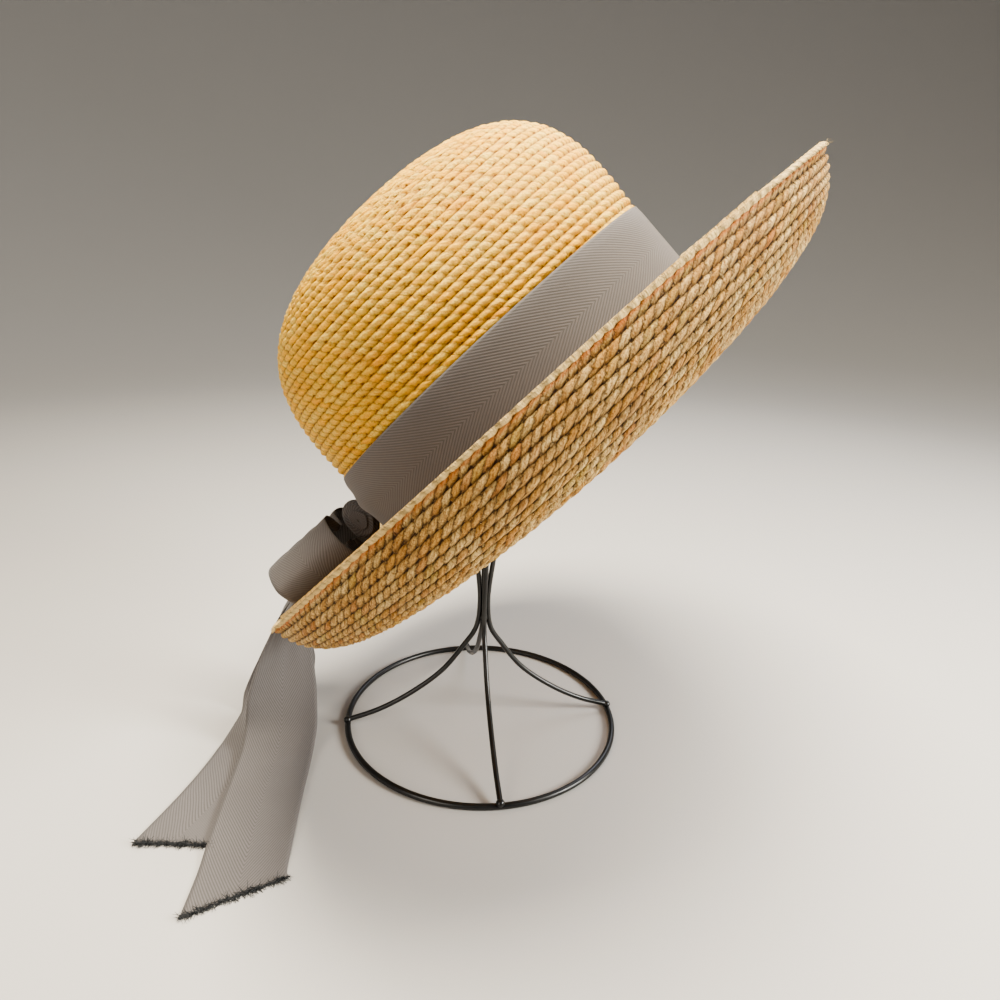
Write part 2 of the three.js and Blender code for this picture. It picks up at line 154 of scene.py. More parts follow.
def noise(
    tree: bpy.types.NodeTree, place: Input, size: float, detail: float = 2.0, roughness: float = 0.5
) -> bpy.types.NodeSocket:
    """Add a noise pattern.

    Args:
        tree: The node tree.
        place: The socket of coordinates that it follows.
        size: Size of its patches, in the unit of those coordinates.
        detail: How many finer layers it has.
        roughness: How strong those layers are.

    Returns:
        The pattern's socket, from 0 to 1.
    """
    inputs = {"Vector": place, "Scale": 1 / size, "Detail": detail, "Roughness": roughness}
    return add_node(tree, "TexNoise", inputs).outputs[0]


def bumps(tree: bpy.types.NodeTree, height: Input, strength: float, depth_mm: float) -> bpy.types.NodeSocket:
    """Turn a height from 0 to 1 into a normal, for relief of a depth in millimetres."""
    inputs = {"Strength": strength, "Distance": depth_mm * MM, "Height": height}
    return add_node(tree, "Bump", inputs).outputs[0]


@dataclass(frozen=True)
class RaffiaFinish:
    """Raffia palm leaf, plaited and sewn in rows: dry, fibrous, with a soft gloss along each strand."""

    name: str
    pale: str
    straw: str
    deep: str
    # gap is the colour of the painted shade in pits, seams and grooves
    gap: str
    ripe: str
    green: str
    # Colour of the painted highlight on the folded brim edge
    edge: str
    roughness: float = 0.6
    relief_mm: float = 1.0
    contrast: float = 0.6
    seam_depth: float = 0.45
    # How strongly painted shade darkens each row where the next one lies over it
    painted_lap_shade: float = 0.0
    # Sizes of one fibre, of the bends in a leaf's edge, of torn ends and of stretches of riper leaf
    fibre_mm: float = 0.7
    bend_mm: float = 1.818
    torn_mm: float = 0.9524
    stretch_mm: float = 16.667
    # How many times longer than wide a fibre shows, and how sharp row lines and leaf seams are
    fibre_length: float = 4.5
    line_power: float = 5.2
    seam_power: float = 0.62

    def leaves(
        self, tree: bpy.types.NodeTree, uv: bpy.types.NodeSocket, braid: "BraidRows"
    ) -> tuple[bpy.types.NodeSocket, bpy.types.NodeSocket, bpy.types.NodeSocket]:
        """Draw the sewn leaves.

        Args:
            tree: The node tree.
            uv: Millimetres along and across the rows.
            braid: The rows that the piece is built with.

        Returns:
            Sockets of the painted shade in pits and seams, the share of the way across a row, and a chance
            colour for each leaf.
        """
        do = partial(calculate, tree)
        parts = add_node(tree, "SeparateXYZ", {0: uv})
        wander = do("MULTIPLY_ADD", noise(tree, uv, self.bend_mm), 0.8, -0.4)
        level = do("DIVIDE", parts.outputs[1], braid.pitch)
        share = do("FRACT", level)
        skewed = do("ADD", do("POWER", share, braid.skew), do("MULTIPLY", wander, 0.5))
        off = do("ABSOLUTE", do("MULTIPLY_ADD", skewed, 2.0, -1.0))
        line = do("MINIMUM", do("POWER", off, self.line_power), 1.0)
        run = do("DIVIDE", parts.outputs[0], braid.stitch)
        run = do("ADD", do("MULTIPLY_ADD", share, braid.slant, run), wander)
        arch = do("SINE", do("MULTIPLY", do("FRACT", run), math.pi))
        seam = do("SUBTRACT", 1.0, do("POWER", arch, self.seam_power))
        # Painted shade: dark where row line and leaf seam meet, fainter along either one
        pit = do("MULTIPLY", line, do("MULTIPLY_ADD", seam, 0.5, 0.5))
        crease = do("MULTIPLY", seam, do("MULTIPLY_ADD", line, -self.seam_depth, self.seam_depth))
        cell = add_node(tree, "CombineXYZ", {0: do("FLOOR", run), 1: do("FLOOR", level)}).outputs[0]
        chance = add_node(tree, "TexWhiteNoise", {"Vector": cell}, noise_dimensions="3D")
        return do("ADD", pit, crease), share, chance.outputs["Color"]

    def material(self, braid: "BraidRows") -> bpy.types.Material:
        """Make the material.

        Args:
            braid: The rows that the piece is built with; its UV map gives millimetres along and across them.

        Returns:
            A material whose leaves, pits and row lines lie on the piece's own stitches.
        """
        material, tree = new_material(self.name)
        do, mix, ramp = partial(calculate, tree), partial(mix_colours, tree), partial(spread, tree)
        low = add_node(tree, "Attribute", attribute_name="depth").outputs["Fac"]
        edge = add_node(tree, "Attribute", attribute_name="edge").outputs["Fac"]
        # Painted highlight: the folded brim edge is paler, with lighter pits, as if lit from above
        painted_edge_highlight = do("MAXIMUM", edge, 0.0)
        orange_inside_edge = do("MAXIMUM", do("MULTIPLY", edge, -1.0), 0.0)
        place = add_node(tree, "TexCoord").outputs["Object"]
        uv = add_node(tree, "UVMap", uv_map="Rows").outputs[0]
        dark, share, colours = self.leaves(tree, uv, braid)
        chances = add_node(tree, "SeparateColor", {0: colours}).outputs
        # Each strand is a leaf laid slantwise in its row, so the fibres run along the slant
        slant = (0, 0, math.atan2(braid.pitch, -braid.slant * braid.stitch))
        stretched = {0: uv, 2: slant, 3: (self.fibre_length, 1.0, 1.0)}
        turned = add_node(tree, "Mapping", stretched, vector_type="TEXTURE").outputs[0]
        fibre = noise(tree, turned, self.fibre_mm, 3.0, 0.62)
        torn = noise(tree, uv, self.torn_mm, 3.0, 0.75)
        stretch = noise(tree, place, self.stretch_mm * MM)
        body = mix(chances[0], linear(self.straw), linear(self.pale))
        layers = (
            # Some leaves are ripe, some green, and whole stretches are riper
            (ramp(chances[1], 0.9, 1.0, 0.0, 0.5), self.ripe),
            (ramp(chances[2], 0.88, 0.98, 0.0, 0.5), self.green),
            (ramp(stretch, 0.45, 0.75, 0.0, 0.4), self.deep),
            # Fibres streak every leaf, torn ends speckle it, and painted shade darkens it where the next row
            # lies over it
            (ramp(fibre, 0.4, 0.64, 0.0, self.contrast), self.deep),
            (ramp(torn, 0.5, 0.62, 0.0, 0.65), self.deep),
            (do("MULTIPLY_ADD", share, -self.painted_lap_shade, self.painted_lap_shade), self.deep),
            # More orange just inside the edge; on the edge itself a painted highlight
            (do("MULTIPLY", orange_inside_edge, 0.85), self.ripe),
            (do("MULTIPLY", painted_edge_highlight, 0.7), self.edge),
        )
        for amount, colour in layers:
            body = mix(amount, body, linear(colour))
        # Painted shade: pits, seams and the grooves that the depth attribute marks are darkened towards the
        # gap colour
        shut = do("MULTIPLY", ramp(dark, 0.1, 0.72, 0.0, 0.95), do("MULTIPLY_ADD", painted_edge_highlight, -0.5, 1.0))
        sunk = ramp(low, 0.0, 0.5, 0.5, 0.0)
        height = do("MULTIPLY_ADD", fibre, -0.6, do("SUBTRACT", 1.0, dark))
        height = do("MULTIPLY_ADD", torn, -0.9, height)
        finish_material(tree, {
            "Base Color": mix(do("MAXIMUM", shut, sunk), body, linear(self.gap)),
            "Roughness": ramp(fibre, 0.3, 0.7, self.roughness - 0.1, self.roughness + 0.16),
            "Normal": bumps(tree, height, 0.9, self.relief_mm),
            "Specular IOR Level": 0.25,
            "Sheen Weight": 0.02,
        })
        return material


@dataclass(frozen=True)
class ThreadFinish:
    """Single raffia fibres or cut cotton ends: dry and dull, paler and darker from thread to thread."""

    name: str
    pale: str
    deep: str
    patch_mm: float
    detail: float
    roughness: float
    gloss: float

    def material(self) -> bpy.types.Material:
        """Make the material.

        Returns:
            A material of two colours in patches.
        """
        material, tree = new_material(self.name)
        place = add_node(tree, "TexCoord").outputs["Object"]
        patch = noise(tree, place, self.patch_mm * MM, self.detail)
        colour = mix_colours(tree, patch, linear(self.deep), linear(self.pale))
        finish_material(tree, {
            "Base Color": colour, "Roughness": self.roughness, "Specular IOR Level": self.gloss,
        })
        return material


@dataclass(frozen=True)
class TwillFinish:
    """Cotton herringbone twill tape: matt, with diagonal wales that meet on a spine and firm woven edges."""

    name: str
    thread: str
    shadow: str
    edge: str
    width_mm: float = TAPE_WIDTH
    # Measured along the tape; square to the wales it is 1.2 mm, coarser than real twill so that it shows
    wale_mm: float = 2.3
    wale_slope: float = 1.65
    pick_mm: float = 0.75
    edge_mm: float = 1.3
    lint_mm: float = 1.1111
    fade_mm: float = 28.57
    relief_mm: float = 0.12

    def material(self) -> bpy.types.Material:
        """Make the material.

        Returns:
            A material whose weave follows the ribbon's own length and width.
        """
        material, tree = new_material(self.name)
        do, mix, ramp = partial(calculate, tree), partial(mix_colours, tree), partial(spread, tree)
        parts = add_node(tree, "SeparateXYZ", {0: add_node(tree, "UVMap", uv_map="Cloth").outputs[0]})
        along, across = parts.outputs[0], parts.outputs[1]
        place = add_node(tree, "TexCoord").outputs["Object"]
        spine = self.width_mm / 2
        wale = do("MULTIPLY_ADD", do("PINGPONG", across, spine), -self.wale_slope, along)
        wave = do("SINE", do("MULTIPLY", wale, 2 * math.pi / self.wale_mm))
        pick = do("SINE", do("MULTIPLY", along, 2 * math.pi / self.pick_mm))
        raised = do("MULTIPLY_ADD", wave, 0.5, 0.5)
        raised = do("MULTIPLY_ADD", pick, 0.08, raised)
        raised = do("MULTIPLY_ADD", noise(tree, place, self.lint_mm * MM), 0.35, raised)
        faded = ramp(noise(tree, place, self.fade_mm * MM), 0.3, 0.7, 0.0, 0.22)
        from_edge = do("SUBTRACT", spine, do("ABSOLUTE", do("SUBTRACT", across, spine)))
        selvedge = ramp(from_edge, self.edge_mm, self.edge_mm * 0.4, 0.0, 0.65)
        body = mix(ramp(raised, 0.1, 1.15, 0.0, 1.0), linear(self.shadow), linear(self.thread))
        body = mix(faded, body, linear(self.shadow))
        finish_material(tree, {
            "Base Color": mix(selvedge, body, linear(self.edge)),
            "Roughness": 0.86,
            "Normal": bumps(tree, raised, 0.45, self.relief_mm),
            "Specular IOR Level": 0.25,
            "Sheen Weight": 0.22,
            "Sheen Roughness": 0.5,
        })
        return material


@dataclass(frozen=True)
class CoatedWireFinish:
    """Mild steel wire under black powder coat: satin, faintly pebbled, with soft long highlights."""

    name: str
    colour: str
    worn: str
    roughness: float = 0.36
    pebble_mm: float = 0.6
    cloud_mm: float = 16.667
    relief_mm: float = 0.05

    def material(self) -> bpy.types.Material:
        """Make the material.

        Returns:
            A material slightly uneven in gloss, as sprayed coating is.
        """
        material, tree = new_material(self.name)
        place = add_node(tree, "TexCoord").outputs["Object"]
        pebble = noise(tree, place, self.pebble_mm * MM)
        cloud = noise(tree, place, self.cloud_mm * MM)
        worn = spread(tree, cloud, 0.55, 0.8, 0.0, 0.35)
        finish_material(tree, {
            "Base Color": mix_colours(tree, worn, linear(self.colour), linear(self.worn)),
            "Roughness": spread(tree, cloud, 0.3, 0.7, self.roughness - 0.08, self.roughness + 0.1),
            "Normal": bumps(tree, pebble, 0.25, self.relief_mm),
            "Coat Weight": 0.25,
            "Coat Roughness": 0.2,
        })
        return material


@dataclass(frozen=True)
class PaperFinish:
    """Pale matt paper sweep under the model."""

    name: str
    colour: str

    def material(self) -> bpy.types.Material:
        """Make the material, with hardly any gloss."""
        material, tree = new_material(self.name)
        finish_material(tree, {
            "Base Color": linear(self.colour), "Roughness": 0.7, "Specular IOR Level": 0.2,
        })
        return material


# Shapes


def turn_about(axis: int, degrees: float) -> np.ndarray:
    """Rotation matrix about one axis.

    Args:
        axis: 0, 1 or 2 for X, Y or Z.
        degrees: Angle, turning from the next axis towards the one after it.

    Returns:
        A three by three matrix.
    """
    c, s = math.cos(math.radians(degrees)), math.sin(math.radians(degrees))
    first, second = (axis + 1) % 3, (axis + 2) % 3
    matrix = np.eye(3)
    matrix[first, first], matrix[second, second] = c, c
    matrix[first, second], matrix[second, first] = -s, s
    return matrix


def unit(vectors: np.ndarray) -> np.ndarray:
    """Vectors scaled to length 1 along the last axis, with zero left as zero."""
    length = np.linalg.norm(vectors, axis=-1, keepdims=True)
    return vectors / np.where(length < 1e-12, 1.0, length)


def distances(line: np.ndarray) -> np.ndarray:
    """How far along a line each of its points lies, from 0."""
    return np.concatenate([[0], np.cumsum(np.linalg.norm(np.diff(line, axis=0), axis=1))])


def row_lengths(points: np.ndarray) -> np.ndarray:
    """Length of each row of a grid of points."""
    return np.linalg.norm(np.diff(points, axis=1), axis=2).sum(axis=1)


def grid_normals(points: np.ndarray, closed: bool) -> np.ndarray:
    """Normals of a grid of points.

    Args:
        points: Rows by columns by 3.
        closed: Whether the last column repeats the first.

    Returns:
        Unit normals, along the column direction crossed with the row direction.
    """
    across = np.gradient(points, axis=0)
    along = np.gradient(points, axis=1)
    if closed:
        wrap = points[:, 1] - points[:, -2]
        along[:, 0] = along[:, -1] = wrap / 2
    return unit(np.cross(along, across))


def deselect_all() -> None:
    """Leave nothing selected or active."""
    bpy.ops.object.select_all(action="DESELECT")
    bpy.context.view_layer.objects.active = None


def select_only(piece: bpy.types.Object) -> None:
    """Leave this piece alone selected and active."""
    deselect_all()
    piece.select_set(True)
    bpy.context.view_layer.objects.active = piece


def rework(mesh: bpy.types.Mesh, weld: float = 0.0, outward: bool = False) -> None:
    """Join a mesh's corners and turn its faces outward.

    Args:
        mesh: The mesh.
        weld: How close the corners are that are joined, in metres, or 0 for none.
        outward: Whether the faces are turned.
    """
    work = bmesh.new()
    work.from_mesh(mesh)
    if weld:
        bmesh.ops.remove_doubles(work, verts=work.verts, dist=weld)
    if outward:
        bmesh.ops.recalc_face_normals(work, faces=work.faces)
    work.to_mesh(mesh)
    work.free()
    mesh.update()


def grid_piece(
    name: str,
    points: np.ndarray,
    uv: Callable[[np.ndarray, np.ndarray, np.ndarray], np.ndarray],
    layer: str,
    outward: Optional[np.ndarray] = None,
    attributes: Optional[dict[str, np.ndarray]] = None,
    weld_mm: float = 0.002,
) -> bpy.types.Object:
    """Shape Blender's grid primitive into a surface.

    Args:
        name: The piece's name.
        points: Rows by columns by 3, in millimetres.
        uv: Gives UV pairs from each corner's row and column and its face's row.
        layer: The UV map's name.
        outward: Directions, one for each point, that the faces are to look along.
        attributes: Named values, one for each point.
        weld_mm: How close corners are joined, which closes seams and poles.

    Returns:
        The piece, smooth shaded.
    """
    rows, columns = points.shape[0] - 1, points.shape[1] - 1
    deselect_all()
    bpy.ops.mesh.primitive_grid_add(x_subdivisions=columns, y_subdivisions=rows, size=2, location=(0, 0, 0))
    piece = bpy.context.active_object
    piece.name = name
    mesh = piece.data
    mesh.name = name
    flat = np.empty(len(mesh.vertices) * 3, np.float32)
    mesh.vertices.foreach_get("co", flat)
    flat = flat.reshape(-1, 3)
    column = np.rint((flat[:, 0] / 2 + 0.5) * columns).astype(int)
    row = np.rint((flat[:, 1] / 2 + 0.5) * rows).astype(int)
    mesh.vertices.foreach_set("co", (points[row, column] * MM).astype(np.float32).ravel())
    corner = np.empty(len(mesh.loops), np.int32)
    mesh.loops.foreach_get("vertex_index", corner)
    face_row = np.repeat(row[corner].reshape(-1, 4).min(axis=1), 4)
    while mesh.uv_layers:
        mesh.uv_layers.remove(mesh.uv_layers[0])
    coordinates = uv(row[corner], column[corner], face_row)
    mesh.uv_layers.new(name=layer).data.foreach_set("uv", coordinates.astype(np.float32).ravel())
    for label, values in (attributes or {}).items():
        store = mesh.attributes.new(label, "FLOAT", "POINT")
        store.data.foreach_set("value", values[row, column].astype(np.float32))
    if outward is not None:
        mesh.update()
        normals = np.empty(len(mesh.polygons) * 3, np.float32)
        mesh.polygons.foreach_get("normal", normals)
        wanted = outward[row[corner], column[corner]].reshape(-1, 4, 3).mean(axis=1)
        if (normals.reshape(-1, 3) * wanted).sum() < 0:
            mesh.flip_normals()
    rework(mesh, weld_mm * MM)
    mesh.shade_smooth()
    return piece


def apply_modifier(piece: bpy.types.Object, kind: str, **settings) -> None:
    """Add one modifier to a piece and apply it.

    Args:
        piece: The piece.
        kind: The modifier's type.
        **settings: Its settings.
    """
    modifier = piece.modifiers.new(kind.title(), kind)
    for name, value in settings.items():
        setattr(modifier, name, value)
    select_only(piece)
    bpy.ops.object.modifier_apply(modifier=modifier.name)


def join_pieces(name: str, pieces: Sequence[bpy.types.Object]) -> bpy.types.Object:
    """Join pieces into one object at the origin.

    Args:
        name: The joined piece's name.
        pieces: What is joined; the first keeps its place.

    Returns:
        The joined piece.
    """
    deselect_all()
    for piece in pieces:
        piece.select_set(True)
    bpy.context.view_layer.objects.active = pieces[0]
    bpy.ops.object.join()
    joined = bpy.context.active_object
    joined.name = name
    joined.data.name = name
    return joined


def loose_piece(name: str, vertices: np.ndarray, faces: Sequence[Sequence[int]]) -> bpy.types.Object:
    """Make one object of many loose threads, starting from a primitive that they replace.

    Args:
        name: The piece's name.
        vertices: Points in millimetres.
        faces: Corner numbers of each face.

    Returns:
        The piece.
    """
    deselect_all()
    bpy.ops.mesh.primitive_circle_add(vertices=3, location=(0, 0, 0))
    piece = bpy.context.active_object
    piece.name = name
    mesh = piece.data
    mesh.name = name
    mesh.clear_geometry()
    mesh.from_pydata((vertices * MM).tolist(), [], [tuple(face) for face in faces])
    rework(mesh, outward=True)
    return piece


@dataclass(frozen=True)
class Thread:
    """One loose three-sided thread: root, way, bend, the way of one corner, length and half its thickness."""

    root: np.ndarray
    way: np.ndarray
    bend: np.ndarray
    flat: np.ndarray
    reach: float
    thick: float

    SIDES = 3

    def add(
        self, vertices: list, faces: list, shares: Sequence[float], taper: float, floor: float = -math.inf
    ) -> None:
        """Add the thread to a mesh in the making.

        Args:
            vertices: Points so far.
            faces: Faces so far.
            shares: Shares of its length that have a ring of corners.
            taper: How much thinner its tip is, as a share.
            floor: Lowest height for its skin.
        """
        first, sides = len(vertices), self.SIDES
        square = np.cross(self.way, self.flat)
        for share in shares:
            centre = self.root + self.way * self.reach * share + self.bend * self.reach * share**2
            centre[2] = max(centre[2], self.thick + floor)
            half = self.thick * (1 - taper * share)
            for corner in range(sides):
                swing = corner * 2 * math.pi / sides
                vertices.append(centre + half * (math.cos(swing) * self.flat + math.sin(swing) * square))
        for ring in range(len(shares) - 1):
            for corner in range(sides):
                a, b = first + ring * sides + corner, first + ring * sides + (corner + 1) % sides
                faces.append((a, b, b + sides, a + sides))
        tip = first + (len(shares) - 1) * sides
        faces.append((first + 2, first + 1, first))
        faces.append((tip, tip + 1, tip + 2))


def dress(piece: bpy.types.Object, material: bpy.types.Material) -> None:
    """Give a piece its material and its body, and log it.

    Args:
        piece: The finished piece.
        material: Its only material.
    """
    piece.data.materials.clear()
    piece.data.materials.append(material)
    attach(piece, ROOT)
    LOG.info("%s: %d faces", piece.name, len(piece.data.polygons))


@dataclass(frozen=True)
class HatPose:
    """Where the hat hangs: the middle of its crown's base, and how it leans on the stand."""

    join: tuple[float, float, float] = (AXIS_X + 25.5, AXIS_Y - 15.6, 197.2)
    lean: float = 45.5
    heading: float = -11.0
    twist: float = 12.4

    def matrix(self) -> np.ndarray:
        """Rotation from the hat's own axes to the part's."""
        return turn_about(2, self.heading) @ turn_about(1, -self.lean) @ turn_about(2, self.twist)

    def place(self, points: np.ndarray) -> np.ndarray:
        """Points of the hat, in millimetres, carried to the part's frame."""
        return points @ self.matrix().T + np.array(self.join)

    def turn(self, directions: np.ndarray) -> np.ndarray:
        """Directions of the hat carried to the part's frame."""
        return directions @ self.matrix().T


@dataclass
class BraidRows:
    """Rows of plaited raffia sewn edge to edge: how high they stand and how their leaves lie."""

    pitch: float = 3.9
    stitch: float = 5.6
    ridge: float = 1.45
    groove: float = 0.8
    slant: float = 1.3
    skew: float = 1.15
    seed: int = 5
    # Shares of the ridge's height: a leaf's sunk ends, its rise, and what chance adds to that
    ends: float = 0.42
    rise: float = 0.36
    chance_rise: float = 0.22
    leaf_power: float = 0.7
    bank_power: float = 2.2

    # How often the leaves drift in and out of step round the hat, and by how many leaves
    DRIFT = ((5, 0.3), (11, 0.22), (23, 0.14))

    def counts(self, lengths: np.ndarray) -> np.ndarray:
        """How many leaves lie in each row of the given lengths in millimetres."""
        return np.maximum(np.rint(lengths / self.stitch), 6).astype(int)

    def tracks(self, turns: np.ndarray, lengths: np.ndarray) -> np.ndarray:
        """Work out where along its leaves each row is at each column.

        Args:
            turns: Place round the hat for each column, 0 to 1.
            lengths: Length round the hat of each braid row, in millimetres.

        Returns:
            Leaf numbers with their fractions, rows by columns, uneven as a hand plaits them.
        """
        chance = np.random.default_rng(self.seed)
        count = len(lengths)
        phase = chance.random(count)
        shift = chance.random((count, 3)) * 2 * math.pi
        along = turns[None, :] * self.counts(lengths)[:, None] + phase[:, None]
        for order, (waves, size) in enumerate(self.DRIFT):
            along = along + size * np.sin(2 * math.pi * waves * turns[None, :] + shift[:, order][:, None])
        return along

    def numbers(self, rows: np.ndarray, count: int) -> np.ndarray:
        """The braid row that each grid row lies in."""
        return np.clip(np.floor(rows + 1e-6).astype(int), 0, count - 1)

    def lobe(self, along: np.ndarray) -> np.ndarray:
        """How far a leaf bulges, from 0 at its ends to 1, for places in leaf numbers."""
        return np.abs(np.sin(math.pi * along)) ** self.leaf_power

    def relief(
        self, tracks: np.ndarray, rows: np.ndarray, lengths: np.ndarray
    ) -> tuple[np.ndarray, np.ndarray]:
        """Work out the relief of every leaf.

        Args:
            tracks: Leaf numbers of each braid row at each column.
            rows: Place across the rows for each grid row, in row numbers.
            lengths: Length round the hat of each braid row, in millimetres.

        Returns:
            Height in millimetres, and depth from 0 in a gap to 1 on top, on the grid.
        """
        chance = np.random.default_rng(self.seed + 100)
        counts = self.counts(lengths)
        swell = chance.random((len(lengths), int(counts.max()) + 2))
        number = self.numbers(rows, len(lengths))
        share = np.clip(rows - number, 0, 1)[:, None]
        along = tracks[number] + self.slant * share
        which = np.floor(along).astype(int) % counts[number][:, None]
        bulge = self.rise + self.chance_rise * swell[number[:, None], which]
        bank = 1 - np.abs(2 * share**self.skew - 1) ** self.bank_power
        height = self.ridge * bank * (self.ends + self.lobe(along) * bulge) - self.groove
        depth = np.clip((height + self.groove) / self.ridge, 0, 1)
        height[:, -1], depth[:, -1] = height[:, 0], depth[:, 0]
        return height, depth

    def sew(
        self,
        name: str,
        pose: HatPose,
        points: np.ndarray,
        directions: np.ndarray,
        tracks: np.ndarray,
        rows: np.ndarray,
        labels: dict[str, np.ndarray],
    ) -> bpy.types.Object:
        """Make one face of sewn rows.

        Args:
            name: The piece's name.
            pose: How the hat hangs.
            points: Rows by columns by 3, in the hat's axes.
            directions: Where each point's face looks.
            tracks: Leaf numbers of each braid row at each column.
            rows: Grid rows, in braid rows.
            labels: Named values for the finish, one for each point.

        Returns:
            The piece, with UV in millimetres of braid, along its row and across the rows.
        """
        number = self.numbers(rows, len(tracks))

        def uv(row: np.ndarray, column: np.ndarray, face_row: np.ndarray) -> np.ndarray:
            """UV from each corner's row and column and its face's row."""
            along = tracks[number[face_row], column] * self.stitch
            return np.stack([along, rows[row] * self.pitch], axis=1)

        return grid_piece(name, pose.place(points), uv, "Rows", pose.turn(directions), labels)


@dataclass
class Crown:
    """The crown: a straight wall under the ribbon, then a rounded top, sewn in rows from the tip down."""

    pose: HatPose
    braid: BraidRows
    length: float = CROWN_LENGTH
    width: float = CROWN_WIDTH
    height: float = 123.0
    front_flare: float = 4.8
    roundness: float = 3.13
    straw: float = STRAW
    wall: float = 40.0
    columns: int = 420
    inner_columns: int = 210
    hidden_rows: int = 9
    steps: int = 5
    inner_steps: int = 3
    # How many points trace the straight wall and the rounded top, and how they crowd at the top's start
    wall_points: int = 40
    top_points: int = 500
    crowding: float = 1.4
    # How many rows from the tip the relief dies away
    tip_fade: float = 0.8

    def profile(self, angles: np.ndarray, inset: float, shares: np.ndarray) -> np.ndarray:
        """Points of the crown by their share of the way from its base to its tip.

        Args:
            angles: Angles round the crown, in radians.
            inset: How far inside the outer face.
            shares: Shares of each upward line's length.

        Returns:
            Shares by angles by 3, in the hat's axes.
        """
        bend = np.linspace(0, 1, self.top_points) ** self.crowding * math.pi / 2
        turn = np.concatenate([np.zeros(self.wall_points), bend])
        wall = np.linspace(0, 1, self.wall_points, endpoint=False)
        climb = np.concatenate([wall, np.ones(self.top_points)])
        rise = np.sin(turn) ** (2 / self.roundness)
        reach = np.clip(np.cos(turn), 0, 1) ** (2 / self.roundness)
        reach[-1] = 0
        z = self.wall * climb + (self.height - inset - self.wall) * rise
        out = np.empty((len(shares), len(angles), 3))
        for j, angle in enumerate(angles):
            forward = math.cos(angle)
            flare = self.front_flare * forward**2 * rise if forward > 0 else 0 * rise
            x = (self.length / 2 - inset + flare) * reach * forward
            y = (self.width / 2 - inset + flare) * reach * math.sin(angle)
            line = np.stack([x, y, z], axis=1)
            walked = distances(line)
            walked /= walked[-1]
            for axis in range(3):
                out[:, j, axis] = np.interp(shares, walked, line[:, axis])
        return out

    def row_count(self) -> int:
        """How many braid rows fit between base and tip."""
        line = self.profile(np.array([math.pi / 2]), 0, np.linspace(0, 1, 400))[:, 0]
        return int(round(distances(line)[-1] / self.braid.pitch))

    def face(self, name: str, inset: float, rows: np.ndarray, columns: int, sign: int) -> bpy.types.Object:
        """Build one face of the crown's straw with its braid.

        Args:
            name: The piece's name.
            inset: How far inside the outer face its middle lies.
            rows: Grid rows, in braid rows from the base.
            columns: Grid columns.
            sign: 1 for the outside and -1 for the inside.

        Returns:
            The piece.
        """
        count = self.row_count()
        turns = np.linspace(0, 1, columns + 1)
        points = self.profile(turns * 2 * math.pi, inset, np.clip(rows / count, 0, 1))
        normals = grid_normals(points, True)
        away = points - np.array([0, 0, self.height * 0.35])
        if (normals * away).sum() < 0:
            normals = -normals
        normals[-1] = (0, 0, 1)
        middle = self.profile(turns * 2 * math.pi, inset, (np.arange(count) + 0.5) / count)
        lengths = row_lengths(middle)
        tracks = self.braid.tracks(turns, lengths)
        height, depth = self.braid.relief(tracks, rows, lengths)
        height = height * np.clip((count - rows) / self.tip_fade, 0, 1)[:, None]
        points = points + sign * normals * height[..., None]
        labels = {"depth": depth, "edge": np.zeros_like(depth)}
        return self.braid.sew(name, self.pose, points, sign * normals, tracks, rows, labels)

    def build(self, finish: RaffiaFinish) -> None:
        """Build and dress the crown's outside and inside.

        Args:
            finish: The straw's finish.
        """
        count = self.row_count()
        visible = np.arange((count - self.hidden_rows) * self.steps + 1) / self.steps + self.hidden_rows
        outer = np.concatenate([np.arange(self.hidden_rows), visible])
        outside = self.face("crown_braid", 0.0, outer, self.columns, 1)
        inner = np.arange(count * self.inner_steps + 1) / self.inner_steps
        inside = self.face("crown_inside", self.straw, inner, self.inner_columns, -1)
        material = finish.material(self.braid)
        for piece in (outside, inside):
            dress(piece, material)
            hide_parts("crown")


@dataclass(frozen=True)
class Round:
    """A value that differs at the hat's front, back, near side and far side."""

    front: float
    back: float
    near: float
    far: float

    def at(self, angles: np.ndarray) -> np.ndarray:
        """Blend the four values round the hat.

        Args:
            angles: Angles round the hat, in radians.

        Returns:
            The value at each angle.
        """
        forward = np.cos(angles)
        ends = np.where(forward > 0, self.front, self.back)
        sides = np.where(np.sin(angles) < 0, self.near, self.far)
        return ends * forward**2 + sides * (1 - forward**2)


